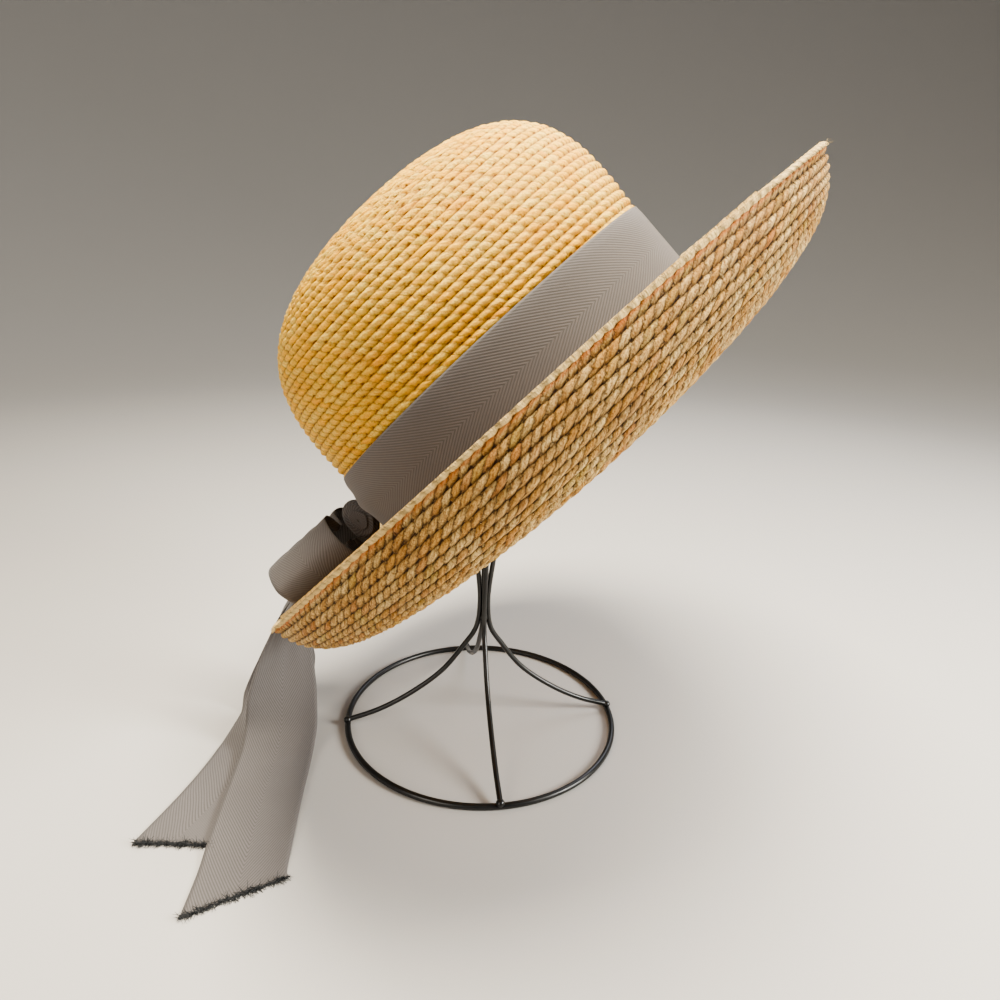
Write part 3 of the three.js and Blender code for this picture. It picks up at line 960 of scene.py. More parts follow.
@dataclass
class Brim:
    """The brim: leaves the crown level, drops, then rolls up to its edge, in about two dozen rows."""

    pose: HatPose
    braid: BraidRows
    length: float = CROWN_LENGTH
    width: float = CROWN_WIDTH
    reach: Round = Round(front=84.3, back=91.0, near=98.0, far=99.8)
    drop: Round = Round(front=-29.9, back=-29.9, near=-37.4, far=-27.5)
    curl: Round = Round(front=68.9, back=83.4, near=107.9, far=72.1)
    flat_share: float = 0.06
    straight_share: float = 0.316
    straw: float = STRAW
    gap: float = GAP
    rope: float = 5.6
    rope_inset: float = 1.4
    rope_steps: int = 8
    # The rope's thickness between leaves and what a leaf adds, as shares, and its arc in degrees
    rope_thin: float = 0.76
    rope_lump: float = 0.26
    rope_arc: tuple[float, float] = (12.0, 200.0)
    columns: int = 640
    steps: int = 5
    width_steps: int = 240
    # Rows beyond the last one where the rope begins and ends, its depth value, and the seat's share of a row
    rope_rows: tuple[float, float] = (0.06, 0.62)
    rope_depth: float = 0.9
    seat_row: float = 0.4
    fibres: int = 900
    fibre_seed: int = 11
    # Shares of the stray fibres that stand on the edge, and of all that are on the lower face
    edge_share: float = 0.6
    under_share: float = 0.75
    # Shortest and longest fibre on the edge and on the rows, and half of the thinnest and thickest one
    edge_reach: tuple[float, float] = (1.0, 3.8)
    row_reach: tuple[float, float] = (0.8, 2.8)
    fibre_half: tuple[float, float] = (0.08, 0.18)

    def slope(self, angles: np.ndarray, share: float) -> np.ndarray:
        """How steeply the straw rises outwards at a share of the brim's width.

        Args:
            angles: Angles round the hat.
            share: 0 at the crown and 1 at the edge.

        Returns:
            Slopes in radians.
        """
        drops = np.interp(share, [0, self.flat_share, self.straight_share, 1], [0, 1, 1, 0])
        curls = np.interp(share, [0, self.straight_share, 1], [0, 0, 1])
        return np.radians(drops * self.drop.at(angles) + curls * self.curl.at(angles))

    def surface(
        self, angles: np.ndarray, shares: np.ndarray, lifts: np.ndarray
    ) -> tuple[np.ndarray, np.ndarray]:
        """Points of the brim and their upward normals.

        Args:
            angles: Angles round the hat.
            shares: Shares of the brim's width, rising, for each grid row.
            lifts: How far above the straw's middle, for each grid row.

        Returns:
            Points and normals, rows by angles by 3, in the hat's axes.
        """
        width = self.reach.at(angles)
        fine = np.linspace(0, 1, self.width_steps + 1)
        slopes = np.stack([self.slope(angles, (a + b) / 2) for a, b in zip(fine[:-1], fine[1:])])
        step = width / self.width_steps
        out = np.concatenate([np.zeros((1, len(angles))), np.cumsum(np.cos(slopes) * step, axis=0)])
        up = np.concatenate([np.zeros((1, len(angles))), np.cumsum(np.sin(slopes) * step, axis=0)])
        up = up - self.gap - self.straw / 2
        a, b = self.length / 2, self.width / 2
        normal = unit(np.stack([np.cos(angles) / a, np.sin(angles) / b], axis=1))
        points = np.empty((len(shares), len(angles), 3))
        normals = np.empty_like(points)
        for i, (share, lift) in enumerate(zip(shares, lifts)):
            at = min(share, 1.0)
            slope = self.slope(angles, at)
            reach = np.array([np.interp(at, fine, out[:, j]) for j in range(len(angles))])
            rise = np.array([np.interp(at, fine, up[:, j]) for j in range(len(angles))])
            reach = reach - lift * np.sin(slope)
            rise = rise + lift * np.cos(slope)
            points[i, :, 0] = a * np.cos(angles) + reach * normal[:, 0]
            points[i, :, 1] = b * np.sin(angles) + reach * normal[:, 1]
            points[i, :, 2] = rise
            normals[i, :, 0] = -np.sin(slope) * normal[:, 0]
            normals[i, :, 1] = -np.sin(slope) * normal[:, 1]
            normals[i, :, 2] = np.cos(slope)
        return points, normals

    def row_count(self) -> int:
        """How many braid rows make the brim's width at the side."""
        return int(round(self.reach.near / self.braid.pitch))

    def rope_rings(
        self, angles: np.ndarray, rim: np.ndarray, normal: np.ndarray, track: np.ndarray
    ) -> tuple[np.ndarray, np.ndarray, np.ndarray]:
        """Work out the thick folded row that ends the brim.

        Args:
            angles: Angles round the hat.
            rim: The lower face's last row of points.
            normal: Upward normals there.
            track: Leaf numbers along the last row.

        Returns:
            Its rings of points, the direction that each point's face looks in, and its grid rows.
        """
        outward = unit(rim * np.array([1, 1, 0]))
        tangent = unit(np.cross(np.gradient(rim, axis=0), normal))
        tangent = np.where(((tangent * outward).sum(axis=1) < 0)[:, None], -tangent, tangent)
        middle = self.surface(angles, np.array([1.0]), np.array([0.0]))[0][0] - self.rope_inset * tangent
        leaf = self.braid.lobe(track)
        rings, ways = [], []
        shares = np.linspace(0, 1, self.rope_steps)
        for share in shares:
            bend = math.radians(np.interp(share, [0, 1], self.rope_arc))
            way = math.sin(bend) * tangent - math.cos(bend) * normal
            thick = self.rope / 2 * (self.rope_thin + self.rope_lump * np.roll(leaf, int(3 * share)))
            rings.append(middle + thick[:, None] * way)
            ways.append(way)
        rows = self.row_count() + np.interp(shares, [0, 1], self.rope_rows)
        return np.array(rings), np.array(ways), rows

    def seat_rings(self, angles: np.ndarray) -> np.ndarray:
        """Work out how the brim closes against the crown's inner face.

        Args:
            angles: Angles round the hat.

        Returns:
            Two rings of points, the upper one first.
        """
        x = (self.length / 2 - self.straw) * np.cos(angles)
        y = (self.width / 2 - self.straw) * np.sin(angles)
        levels = (-self.gap, -self.gap - self.straw)
        return np.array([np.stack([x, y, np.full_like(x, level)], axis=1) for level in levels])

    def face(self, name: str, sign: int) -> bpy.types.Object:
        """Build the upper face, or the lower one with the seat and the rolled edge row.

        Args:
            name: The piece's name.
            sign: 1 for the upper face and -1 for the lower.

        Returns:
            The piece.
        """
        count = self.row_count()
        rows = np.arange(count * self.steps + 1) / self.steps
        turns = np.linspace(0, 1, self.columns + 1)
        angles = turns * 2 * math.pi
        points, normals = self.surface(angles, rows / count, np.full(len(rows), sign * self.straw / 2))
        lengths = row_lengths(points[:: self.steps])[1:]
        tracks = self.braid.tracks(turns, lengths)
        height, depth = self.braid.relief(tracks, rows, lengths)
        # The last row is folded over, so it stays thick right to the edge
        height[-1], depth[-1] = height[-3], depth[-3]
        directions = sign * normals
        points = points + directions * height[..., None]
        if sign < 0:
            rings, ways, rope_rows = self.rope_rings(angles, points[-1], normals[-1], tracks[-1])
            seat = self.seat_rings(angles)
            down = np.broadcast_to((0, 0, -1), seat.shape)
            points = np.concatenate([seat, points, rings])
            directions = np.concatenate([down, directions, ways])
            depth = np.concatenate([depth[[0, 0]], depth, np.full(rings.shape[:2], self.rope_depth)])
            rows = np.concatenate([[-2 * self.seat_row, -self.seat_row], rows, rope_rows])
        # Paler on the folded edge, a painted highlight from above, and more orange just inside it, where the
        # row below it is sewn on
        pale = np.clip((rows - count + 0.1) * 5, 0, 1) - np.clip(1 - np.abs(rows - count + 0.3) / 0.25, 0, 1)
        labels = {"depth": depth, "edge": pale[:, None] * np.ones((1, len(angles)))}
        return self.braid.sew(name, self.pose, points, directions, tracks, rows, labels)

    def stray_fibres(self) -> bpy.types.Object:
        """Build the fibre ends that stand off the edge and the rows.

        Returns:
            One piece that holds them all.
        """
        chance = np.random.default_rng(self.fibre_seed)
        vertices, faces = [], []
        edge = chance.random(self.fibres) < self.edge_share
        share = np.where(edge, 1.0, chance.random(self.fibres) * 0.95)
        for k in range(self.fibres):
            angle = np.array([chance.random() * 2 * math.pi])
            side = -1 if chance.random() < self.under_share else 1
            point, normal = self.surface(angle, np.array([share[k]]), np.array([side * self.straw / 2]))
            outward = unit(point[0, 0] * np.array([1, 1, 0]))
            lean = outward * (0.9 if edge[k] else 0.15) + side * normal[0, 0] * chance.normal(0.5, 0.3)
            way = unit(lean + np.cross(outward, normal[0, 0]) * chance.normal(0, 1.1))
            bend = unit(chance.normal(0, 1, 3)) * 0.45
            reach = chance.uniform(*(self.edge_reach if edge[k] else self.row_reach))
            thick = chance.uniform(*self.fibre_half)
            root = point[0, 0] - 0.12 * reach * way
            thread = Thread(root, way, bend, unit(np.cross(way, bend)), reach, thick)
            thread.add(vertices, faces, (0, 0.4, 0.75, 1), 0.8)
        return loose_piece("stray_fibres", self.pose.place(np.array(vertices)), faces)

    def build(self, finish: RaffiaFinish, fibre: ThreadFinish) -> None:
        """Build and dress the brim's two faces and its stray fibres.

        Args:
            finish: The straw's finish.
            fibre: The finish of single fibres.
        """
        material = finish.material(self.braid)
        for name, sign in (("brim_underside", -1), ("brim_upper", 1)):
            piece = self.face(name, sign)
            dress(piece, material)
            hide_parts("brim")
        dress(self.stray_fibres(), fibre.material())


# Ribbon


def spline(points: np.ndarray, where: np.ndarray, centripetal: bool) -> np.ndarray:
    """Points on a smooth curve through given points.

    Args:
        points: The points, or directions, in order.
        where: Places along it from 0 to 1, even from point to point.
        centripetal: Whether the pace follows the distances between the points.

    Returns:
        One point for each place.
    """
    result = np.empty((len(where), 3))
    last = len(points) - 1
    for k, share in enumerate(where):
        at = min(max(share, 0.0), 1.0) * last
        i = min(int(at), last - 1)
        t = at - i
        p1, p2 = points[i], points[i + 1]
        p0 = points[i - 1] if i > 0 else 2 * p1 - p2
        p3 = points[i + 2] if i + 2 <= last else 2 * p2 - p1
        if centripetal:
            d0, d1, d2 = (max(np.linalg.norm(b - a) ** 0.5, 1e-4) for a, b in ((p0, p1), (p1, p2), (p2, p3)))
            m1 = ((p1 - p0) / d0 - (p2 - p0) / (d0 + d1) + (p2 - p1) / d1) * d1
            m2 = ((p2 - p1) / d1 - (p3 - p1) / (d1 + d2) + (p3 - p2) / d2) * d1
        else:
            m1, m2 = (p2 - p0) / 2, (p3 - p1) / 2
        result[k] = p1 + t * m1 + t * t * (3 * (p2 - p1) - 2 * m1 - m2) + t**3 * (2 * (p1 - p2) + m1 + m2)
    return result


@dataclass
class RibbonRow:
    """One place on a ribbon: its middle, the direction across it, its width and its cup."""

    at: np.ndarray
    across: np.ndarray
    width: float
    cup: float = 0.0


@dataclass
class Ribbon:
    """A length of tape: how it is built from rows, and its thickness in the solids and as cloth."""

    width: float = TAPE_WIDTH
    built: float = 1.1
    cloth: float = 0.5
    parts: int = 20
    pace: int = 10
    pleats: float = 3.0
    pleat_depth: float = 2.2
    # Gap between the tape and the floor that it lies on
    clear: float = 0.05

    def strip(
        self, name: str, rows: Sequence[RibbonRow], roll: float = 0.0
    ) -> tuple[bpy.types.Object, float]:
        """Build one open ribbon.

        Args:
            name: The piece's name.
            rows: Places along it.
            roll: Where its pleats begin, as a share of one pleat.

        Returns:
            The piece and its length along its middle, in millimetres.
        """
        count = (len(rows) - 1) * self.pace
        where = np.linspace(0, 1, count + 1)
        middles = np.array([row.at for row in rows])
        centre = spline(middles, where, True)
        side = spline(np.array([row.across for row in rows]), where, False)
        ahead = spline(middles, np.clip(where + 1e-4, 0, 1), True)
        behind = spline(middles, np.clip(where - 1e-4, 0, 1), True)
        normal = unit(np.cross(unit(ahead - behind), side))
        spots = where * (len(rows) - 1)
        widths = np.interp(spots, range(len(rows)), [row.width for row in rows])
        cups = np.interp(spots, range(len(rows)), [row.cup for row in rows])
        share = np.linspace(-0.5, 0.5, self.parts + 1)
        gather = np.clip(1 - widths / self.width, 0, 1)
        pleat = np.cos(2 * math.pi * (self.pleats * share[None, :] + roll))
        pleat = pleat * (gather * self.pleat_depth)[:, None]
        lift = cups[:, None] * (0.5 - 4 * share[None, :] ** 2) + pleat
        points = (
            centre[:, None]
            + side[:, None] * (share[None, :] * widths[:, None])[..., None]
            + normal[:, None] * lift[..., None]
        )
        points[..., 2] = np.maximum(points[..., 2], self.cloth / 2 + self.clear)
        flat = np.cumsum(np.linalg.norm(np.diff(points, axis=0), axis=2), axis=0)
        flat = np.concatenate([np.zeros((1, self.parts + 1)), flat])

        def uv(row: np.ndarray, column: np.ndarray, face_row: np.ndarray) -> np.ndarray:
            """UV in millimetres of flat tape, along and across."""
            return np.stack([flat[row, column], (share[column] + 0.5) * self.width], axis=1)

        piece = grid_piece(name, points, uv, "Cloth", weld_mm=0.0001)
        apply_modifier(piece, "SOLIDIFY", thickness=self.cloth * MM, offset=0.0, use_even_offset=False)
        return piece, float(distances(centre)[-1])


@dataclass
class Band:
    """The ribbon round the crown, gathered into folds where it enters the knot."""

    pose: HatPose
    ribbon: Ribbon
    length: float = CROWN_LENGTH
    width: float = CROWN_WIDTH
    gap: float = GAP
    bulge: float = 6.4
    gather: float = 26.0
    gathered_share: float = 0.86
    pinch: float = 0.42
    knot_angle: float = KNOT_ANGLE
    columns: int = 480
    rows: int = 32
    # Small ripples: their height, their swings over the band's width, and how far round they reach in degrees
    ripple: float = 0.28
    ripple_swings: float = 21.0
    ripple_reach: float = 60.0
    # How far the top edge is drawn in over its last tenth
    drawn_in: float = 0.4

    # The folds beside the knot: share of the band's width, and share of the bulge there
    FOLDS = ((0, 0.1), (0.15, 0.75), (0.32, 0.2), (0.56, 0.9), (0.8, 0.45), (1, 0.05))

    def build(self, finish: bpy.types.Material) -> None:
        """Args:
            finish: The ribbon's material.
        """
        angles = np.linspace(0, 2 * math.pi, self.columns + 1)
        away = np.degrees(np.arccos(np.clip(np.cos(angles - math.radians(self.knot_angle)), -1, 1)))
        near = np.exp(-((away / self.gather) ** 2))
        knotted = np.exp(-((away / (self.gather * self.pinch)) ** 2))
        heights = np.linspace(0, 1, self.rows + 1)
        eased = np.interp(heights, *zip(*self.FOLDS))
        soft = np.convolve(np.pad(eased, 2, mode="edge"), np.ones(5) / 5, mode="valid")
        a, b = self.length / 2, self.width / 2
        normal = unit(np.stack([np.cos(angles) / a, np.sin(angles) / b], axis=1))
        high = heights[:, None]
        share = high + (0.5 + (high - 0.5) * self.gathered_share - high) * knotted
        around = near + 0.2 * np.exp(-((away / self.ripple_reach) ** 2))
        out = self.gap + self.ribbon.built * 0.55 + self.bulge * soft[:, None] * near * (1 - knotted)
        out = out + self.ripple * np.sin(high * self.ripple_swings + 0.6) * around
        out = out - np.interp(high, [0.9, 1], [0, self.drawn_in])
        out = np.maximum(out, self.gap + self.ribbon.cloth / 2)
        points = np.empty((len(heights), len(angles), 3))
        points[..., 0] = a * np.cos(angles) + out * normal[:, 0]
        points[..., 1] = b * np.sin(angles) + out * normal[:, 1]
        points[..., 2] = self.gap + share * (self.ribbon.width - self.gap)
        outward = np.broadcast_to(np.concatenate([normal, np.zeros((len(angles), 1))], axis=1), points.shape)
        middle = points[self.rows // 2]
        walked = distances(middle)

        def uv(row: np.ndarray, column: np.ndarray, face_row: np.ndarray) -> np.ndarray:
            """UV in millimetres of flat tape, along and across."""
            return np.stack([walked[column], heights[row] * self.ribbon.width], axis=1)

        piece = grid_piece("band_ribbon", self.pose.place(points), uv, "Cloth", self.pose.turn(outward))
        apply_modifier(piece, "SOLIDIFY", thickness=self.ribbon.cloth * MM, offset=0.0)
        dress(piece, finish)
        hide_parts("ribbon_band")


@dataclass
class Bow:
    """The bow at the back: a wrapped knot, two loops that stand out from it, and two long tails."""

    pose: HatPose
    ribbon: Ribbon
    brim: Brim
    knot_angle: float = KNOT_ANGLE
    knot_length: float = 24.0
    knot_thickness: float = 17.0
    knot_width: float = 18.0
    loop_length: float = 30.0
    loop_depth: float = 21.0
    tail_start: float = 0.1
    # The knot as tied: a little tighter than its solid, and close to the band
    drawn: float = 0.96
    tuck: float = -0.8
    pleats: float = 6.5
    pleat_depth: float = 1.7
    gap: float = GAP
    # Steps round the knot and across its tape, and how far its sides are drawn in
    wrap_steps: int = 120
    cross_steps: int = 64
    knot_shut: float = 0.04
    knot_roundness: float = 0.55
    loose_threads: int = 800
    # Shortest and longest loose thread, half of the thinnest and thickest one, and the skin's lowest place
    thread_reach: tuple[float, float] = (0.9, 3.4)
    thread_half: tuple[float, float] = (0.1, 0.26)
    lowest: float = 0.02

    # out, up and near are shares of the tape's width, the loop's depth and its length
    LOOP_ROWS = (
        dict(out=0, up=0.22, near=0.12, width=0.4, flat=0.7),
        dict(out=0, up=0.54, near=0.22, width=0.62, flat=0.9),
        dict(out=-0.02, up=0.6, near=0.46, width=0.92, flat=1),
        dict(out=-0.04, up=0.5, near=0.78, width=0.98, flat=1),
        dict(out=-0.04, up=0.04, near=1, width=1, flat=1),
        dict(out=-0.04, up=-0.44, near=0.84, width=0.98, flat=1),
        dict(out=-0.02, up=-0.58, near=0.5, width=0.92, flat=1),
        dict(out=0, up=-0.44, near=0.24, width=0.62, flat=0.9),
        dict(out=0, up=-0.18, near=0.12, width=0.4, flat=0.7),
    )
    FRONT_TAIL = dict(
        rim=175, run=97, slant=20, landing=(0.29, 0.72),
        over=(
            dict(start=0, up=0, near=0.3, width=0.36, cup=0),
            dict(start=0.3, up=-0.28, near=0.2, width=0.46, cup=-2.4),
            dict(start=0.65, up=-0.3, near=0.1, width=0.58, cup=-2.4),
        ),
        crest=dict(lift=0.022, width=0.66, cup=-1.6),
        hang=(
            dict(out=0.24, near=0.02, height=0.82, width=0.74, turn=66, cup=-2.4),
            dict(out=0.3, near=0.12, height=0.58, width=0.86, turn=44, cup=-2.2),
            dict(out=0.32, near=0.26, height=0.34, width=0.96, turn=24, cup=-1.6),
            dict(out=0.3, near=0.46, height=0.14, width=1, turn=8, cup=-0.8),
        ),
        floor=(
            dict(along=0, side=0, ride=2.6, turn=-2),
            dict(along=0.16, side=0.03, ride=1.2, turn=-3),
            dict(along=0.35, side=0.07, ride=1.05, turn=-4),
            dict(along=0.7, side=0.16, ride=1, turn=-5),
            dict(along=0.86, side=0.2, ride=0, turn=-6),
            dict(along=1, side=0.24, ride=0, turn=-6),
        ),
    )
    REAR_TAIL = dict(
        rim=164, run=104, slant=14, landing=(0.76, 0.62),
        over=(
            dict(start=0, up=0, near=-0.75, width=0.36, cup=0),
            dict(start=0.3, up=-0.2, near=-0.6, width=0.46, cup=-2.4),
            dict(start=0.65, up=-0.2, near=-0.3, width=0.58, cup=-2.4),
        ),
        crest=dict(lift=0.06, width=0.66, cup=-1.6),
        hang=(
            dict(out=0.5, near=0.02, height=0.82, width=0.66, turn=76, cup=-2.4),
            dict(out=0.66, near=0.08, height=0.56, width=0.8, turn=60, cup=-2.2),
            dict(out=0.68, near=0.16, height=0.32, width=0.94, turn=30, cup=-1.6),
            dict(out=0.76, near=0.34, height=0.12, width=1, turn=8, cup=-0.8),
        ),
        floor=(
            dict(along=0, side=0, ride=0, turn=2),
            dict(along=0.35, side=-0.04, ride=0, turn=4),
            dict(along=0.7, side=-0.18, ride=0, turn=12),
            dict(along=1, side=-0.42, ride=0, turn=20),
        ),
    )

    def axes(self) -> tuple[np.ndarray, np.ndarray, np.ndarray]:
        """Work out the bow's own axes.

        Returns:
            Directions out from the crown's back, up its wall, and towards the near side.
        """
        angle = math.radians(self.knot_angle)
        outward = self.pose.turn(np.array([math.cos(angle), math.sin(angle), 0]))
        upward = self.pose.turn(np.array([0, 0, 1.0]))
        nearward = np.cross(outward, upward)
        return outward, upward, nearward if nearward[1] < 0 else -nearward

    def from_knot(self, out: float, up: float, near: float) -> np.ndarray:
        """Carry a point of the bow to the part's frame.

        Args:
            out: Millimetres out from the knot's middle.
            up: Millimetres up from it.
            near: Millimetres towards the near side.

        Returns:
            The point.
        """
        outward, upward, nearward = self.axes()
        angle = math.radians(self.knot_angle)
        x, y = self.brim.length / 2 * math.cos(angle), self.brim.width / 2 * math.sin(angle)
        back = self.pose.place(np.array([x, y, self.ribbon.width / 2]))
        centre = back + outward * (3 * self.gap + self.ribbon.built + self.knot_thickness / 2)
        return centre + outward * out + upward * up + nearward * near

    def knot(self) -> bpy.types.Object:
        """Build the tape wrapped once round the bow's middle, pleated, with its sides drawn in.

        Returns:
            The knot, drawn almost shut at both sides.
        """
        outward, upward, nearward = self.axes()
        turns = np.linspace(0, 1, self.wrap_steps + 1)
        shares = np.linspace(0, 1, self.cross_steps + 1)
        around = turns * 2 * math.pi
        lump = 1 + 0.06 * np.cos(2 * around + 0.5) - 0.07 * np.cos(3 * around)
        thick, tall = self.drawn * self.knot_thickness / 2, self.drawn * self.knot_length / 2
        points = np.empty((len(shares), len(turns), 3))
        middle = self.from_knot(self.tuck, 0, 0)
        for i, share in enumerate(shares):
            swell = self.knot_shut + (1 - self.knot_shut) * math.sin(math.pi * share) ** self.knot_roundness
            across = -math.cos(math.pi * share) * (self.drawn * self.knot_width / 2 - self.ribbon.cloth)
            pleat = self.pleat_depth * np.cos(2 * math.pi * (self.pleats * share) + 0.7 * np.sin(around))
            out = (thick * lump - self.pleat_depth + pleat) * swell * np.cos(around)
            up = (tall - self.pleat_depth + pleat) * swell * np.sin(around)
            points[i] = middle + out[:, None] * outward + up[:, None] * upward + across * nearward
        walked = turns * self.wrap_length()

        def uv(row: np.ndarray, column: np.ndarray, face_row: np.ndarray) -> np.ndarray:
            """UV in millimetres of flat tape, along and across."""
            return np.stack([walked[column], shares[row] * self.ribbon.width], axis=1)

        knot = grid_piece("bow_knot_wrap", points, uv, "Cloth", points - middle)
        apply_modifier(knot, "SOLIDIFY", thickness=self.ribbon.cloth * MM, offset=-1.0)
        return knot

    def wrap_length(self) -> float:
        """Length of tape once round the knot, in millimetres."""
        return math.pi * (self.knot_thickness + self.knot_length) / 2 * 0.92 * self.drawn

    def loop_rows(self, side: Side) -> list[RibbonRow]:
        """Rows of one loop, out of the knot, round its bend and back.

        Args:
            side: Which loop.

        Returns:
            Its rows in order.
        """
        outward, upward, _ = self.axes()
        rows = []
        for row in self.LOOP_ROWS:
            out = self.knot_thickness / 2 + 2 * self.gap
            out = out + (row["out"] + 0.5 * row["width"]) * self.ribbon.width
            rows.append(RibbonRow(
                self.from_knot(out, row["up"] * self.loop_depth, side.value * row["near"] * self.loop_length),
                unit(outward * row["flat"] + upward * 0.25 * (1 - row["flat"])),
                row["width"] * self.ribbon.width,
            ))
        return rows

    def tail_rows(self, table: dict) -> list[RibbonRow]:
        """Rows of one tail, out of the knot, over the brim, down, and along the floor.

        Args:
            table: The tail's sizes and places.

        Returns:
            Its rows in order.
        """
        _, upward, nearward = self.axes()
        angle = np.array([math.radians(table["rim"])])
        edge = self.pose.place(self.brim.surface(angle, np.array([1.0]), np.array([0.0]))[0][0, 0])
        below = -self.knot_length / 2 - self.gap - self.ribbon.built
        start = self.from_knot(self.tail_start * self.knot_thickness, below, 0)
        top = edge + upward * (2 * self.gap + self.ribbon.built + table["crest"]["lift"] * self.ribbon.width)
        width = self.ribbon.width
        rows = [
            RibbonRow(
                start + (top - start) * row["start"] + upward * row["up"] * self.knot_thickness
                + nearward * row["near"] * self.knot_width,
                -nearward, row["width"] * width, row["cup"],
            )
            for row in table["over"]
        ]
        rows.append(RibbonRow(top, -nearward, table["crest"]["width"] * width, table["crest"]["cup"]))
        for row in table["hang"]:
            turn = math.radians(row["turn"])
            place = edge[0] - row["out"] * width, edge[1] - row["near"] * width, row["height"] * edge[2]
            across = np.array([math.cos(turn), math.sin(turn), 0])
            rows.append(RibbonRow(np.array(place), across, row["width"] * width, row["cup"]))
        out, near = table["landing"]
        for i, row in enumerate(table["floor"]):
            turn = math.radians(-row["turn"])
            across = np.array([math.cos(turn), math.sin(turn), 0])
            if i == len(table["floor"]) - 1:
                across = across + np.array([0, table["slant"] / width, 0])
            rows.append(RibbonRow(
                np.array([
                    edge[0] - out * width + row["side"] * width,
                    edge[1] - near * width - row["along"] * table["run"],
                    self.ribbon.built / 2 + row["ride"] * (self.ribbon.built + self.gap),
                ]),
                across, width,
            ))
        return rows

    def fray(self, name: str, rows: Sequence[RibbonRow], seed: int) -> bpy.types.Object:
        """Build the short loose threads along a tail's cut end.

        Args:
            name: The piece's name.
            rows: The tail's rows.
            seed: What fixes the threads' places.

        Returns:
            The threads as one piece.
        """
        chance = np.random.default_rng(seed)
        last, before = rows[-1], rows[-2]
        ahead = unit(last.at - before.at)
        vertices, faces = [], []
        for k in range(self.loose_threads):
            share = chance.uniform(-0.5, 0.5)
            start = last.at + last.across * share * last.width - ahead * chance.uniform(-0.5, 0.8)
            start = start + np.array([0, 0, chance.uniform(-0.4, 0.2)])
            pull = chance.uniform(0.2, 1)
            stray = [chance.normal(middle, wide) for middle, wide in ((0, 0.7), (0, 0.4), (0.25, 0.35))]
            way = unit(ahead * pull + np.array(stray))
            reach = chance.uniform(*self.thread_reach)
            thick = chance.uniform(*self.thread_half)
            flat = unit(np.cross(way, np.array([0.1, 0.2, 1.0])))
            bend = unit(chance.normal(0, 1, 3)) * 0.6
            thread = Thread(start, way, bend, flat, reach, thick)
            thread.add(vertices, faces, (0, 0.5, 1), 0.55, self.lowest)
        vertices = np.array(vertices)
        vertices[:, 2] = np.maximum(vertices[:, 2], self.lowest)
        return loose_piece(name, vertices, faces)

    def build(self, finish: bpy.types.Material, fray: ThreadFinish) -> None:
        """Args:
            finish: The ribbon's material.
            fray: The finish of its loose cut threads.
        """
        knot = self.knot()
        dress(knot, finish)
        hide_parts("bow_knot")
        for node, side, roll in (("bow_loop_near", Side.NEAR, 0.0), ("bow_loop_far", Side.FAR, 0.4)):
            loop, length = self.ribbon.strip(node + "_ribbon", self.loop_rows(side), roll)
            dress(loop, finish)
            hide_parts(node)
        loose = fray.material()
        for node, table, seed in (("tail_front", self.FRONT_TAIL, 21), ("tail_rear", self.REAR_TAIL, 22)):
            rows = self.tail_rows(table)
            tail, length = self.ribbon.strip(node + "_ribbon", rows, 0.25)
            dress(tail, finish)
            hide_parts(node)
            ends = self.fray(node + "_fray", rows, seed)
            dress(ends, loose)


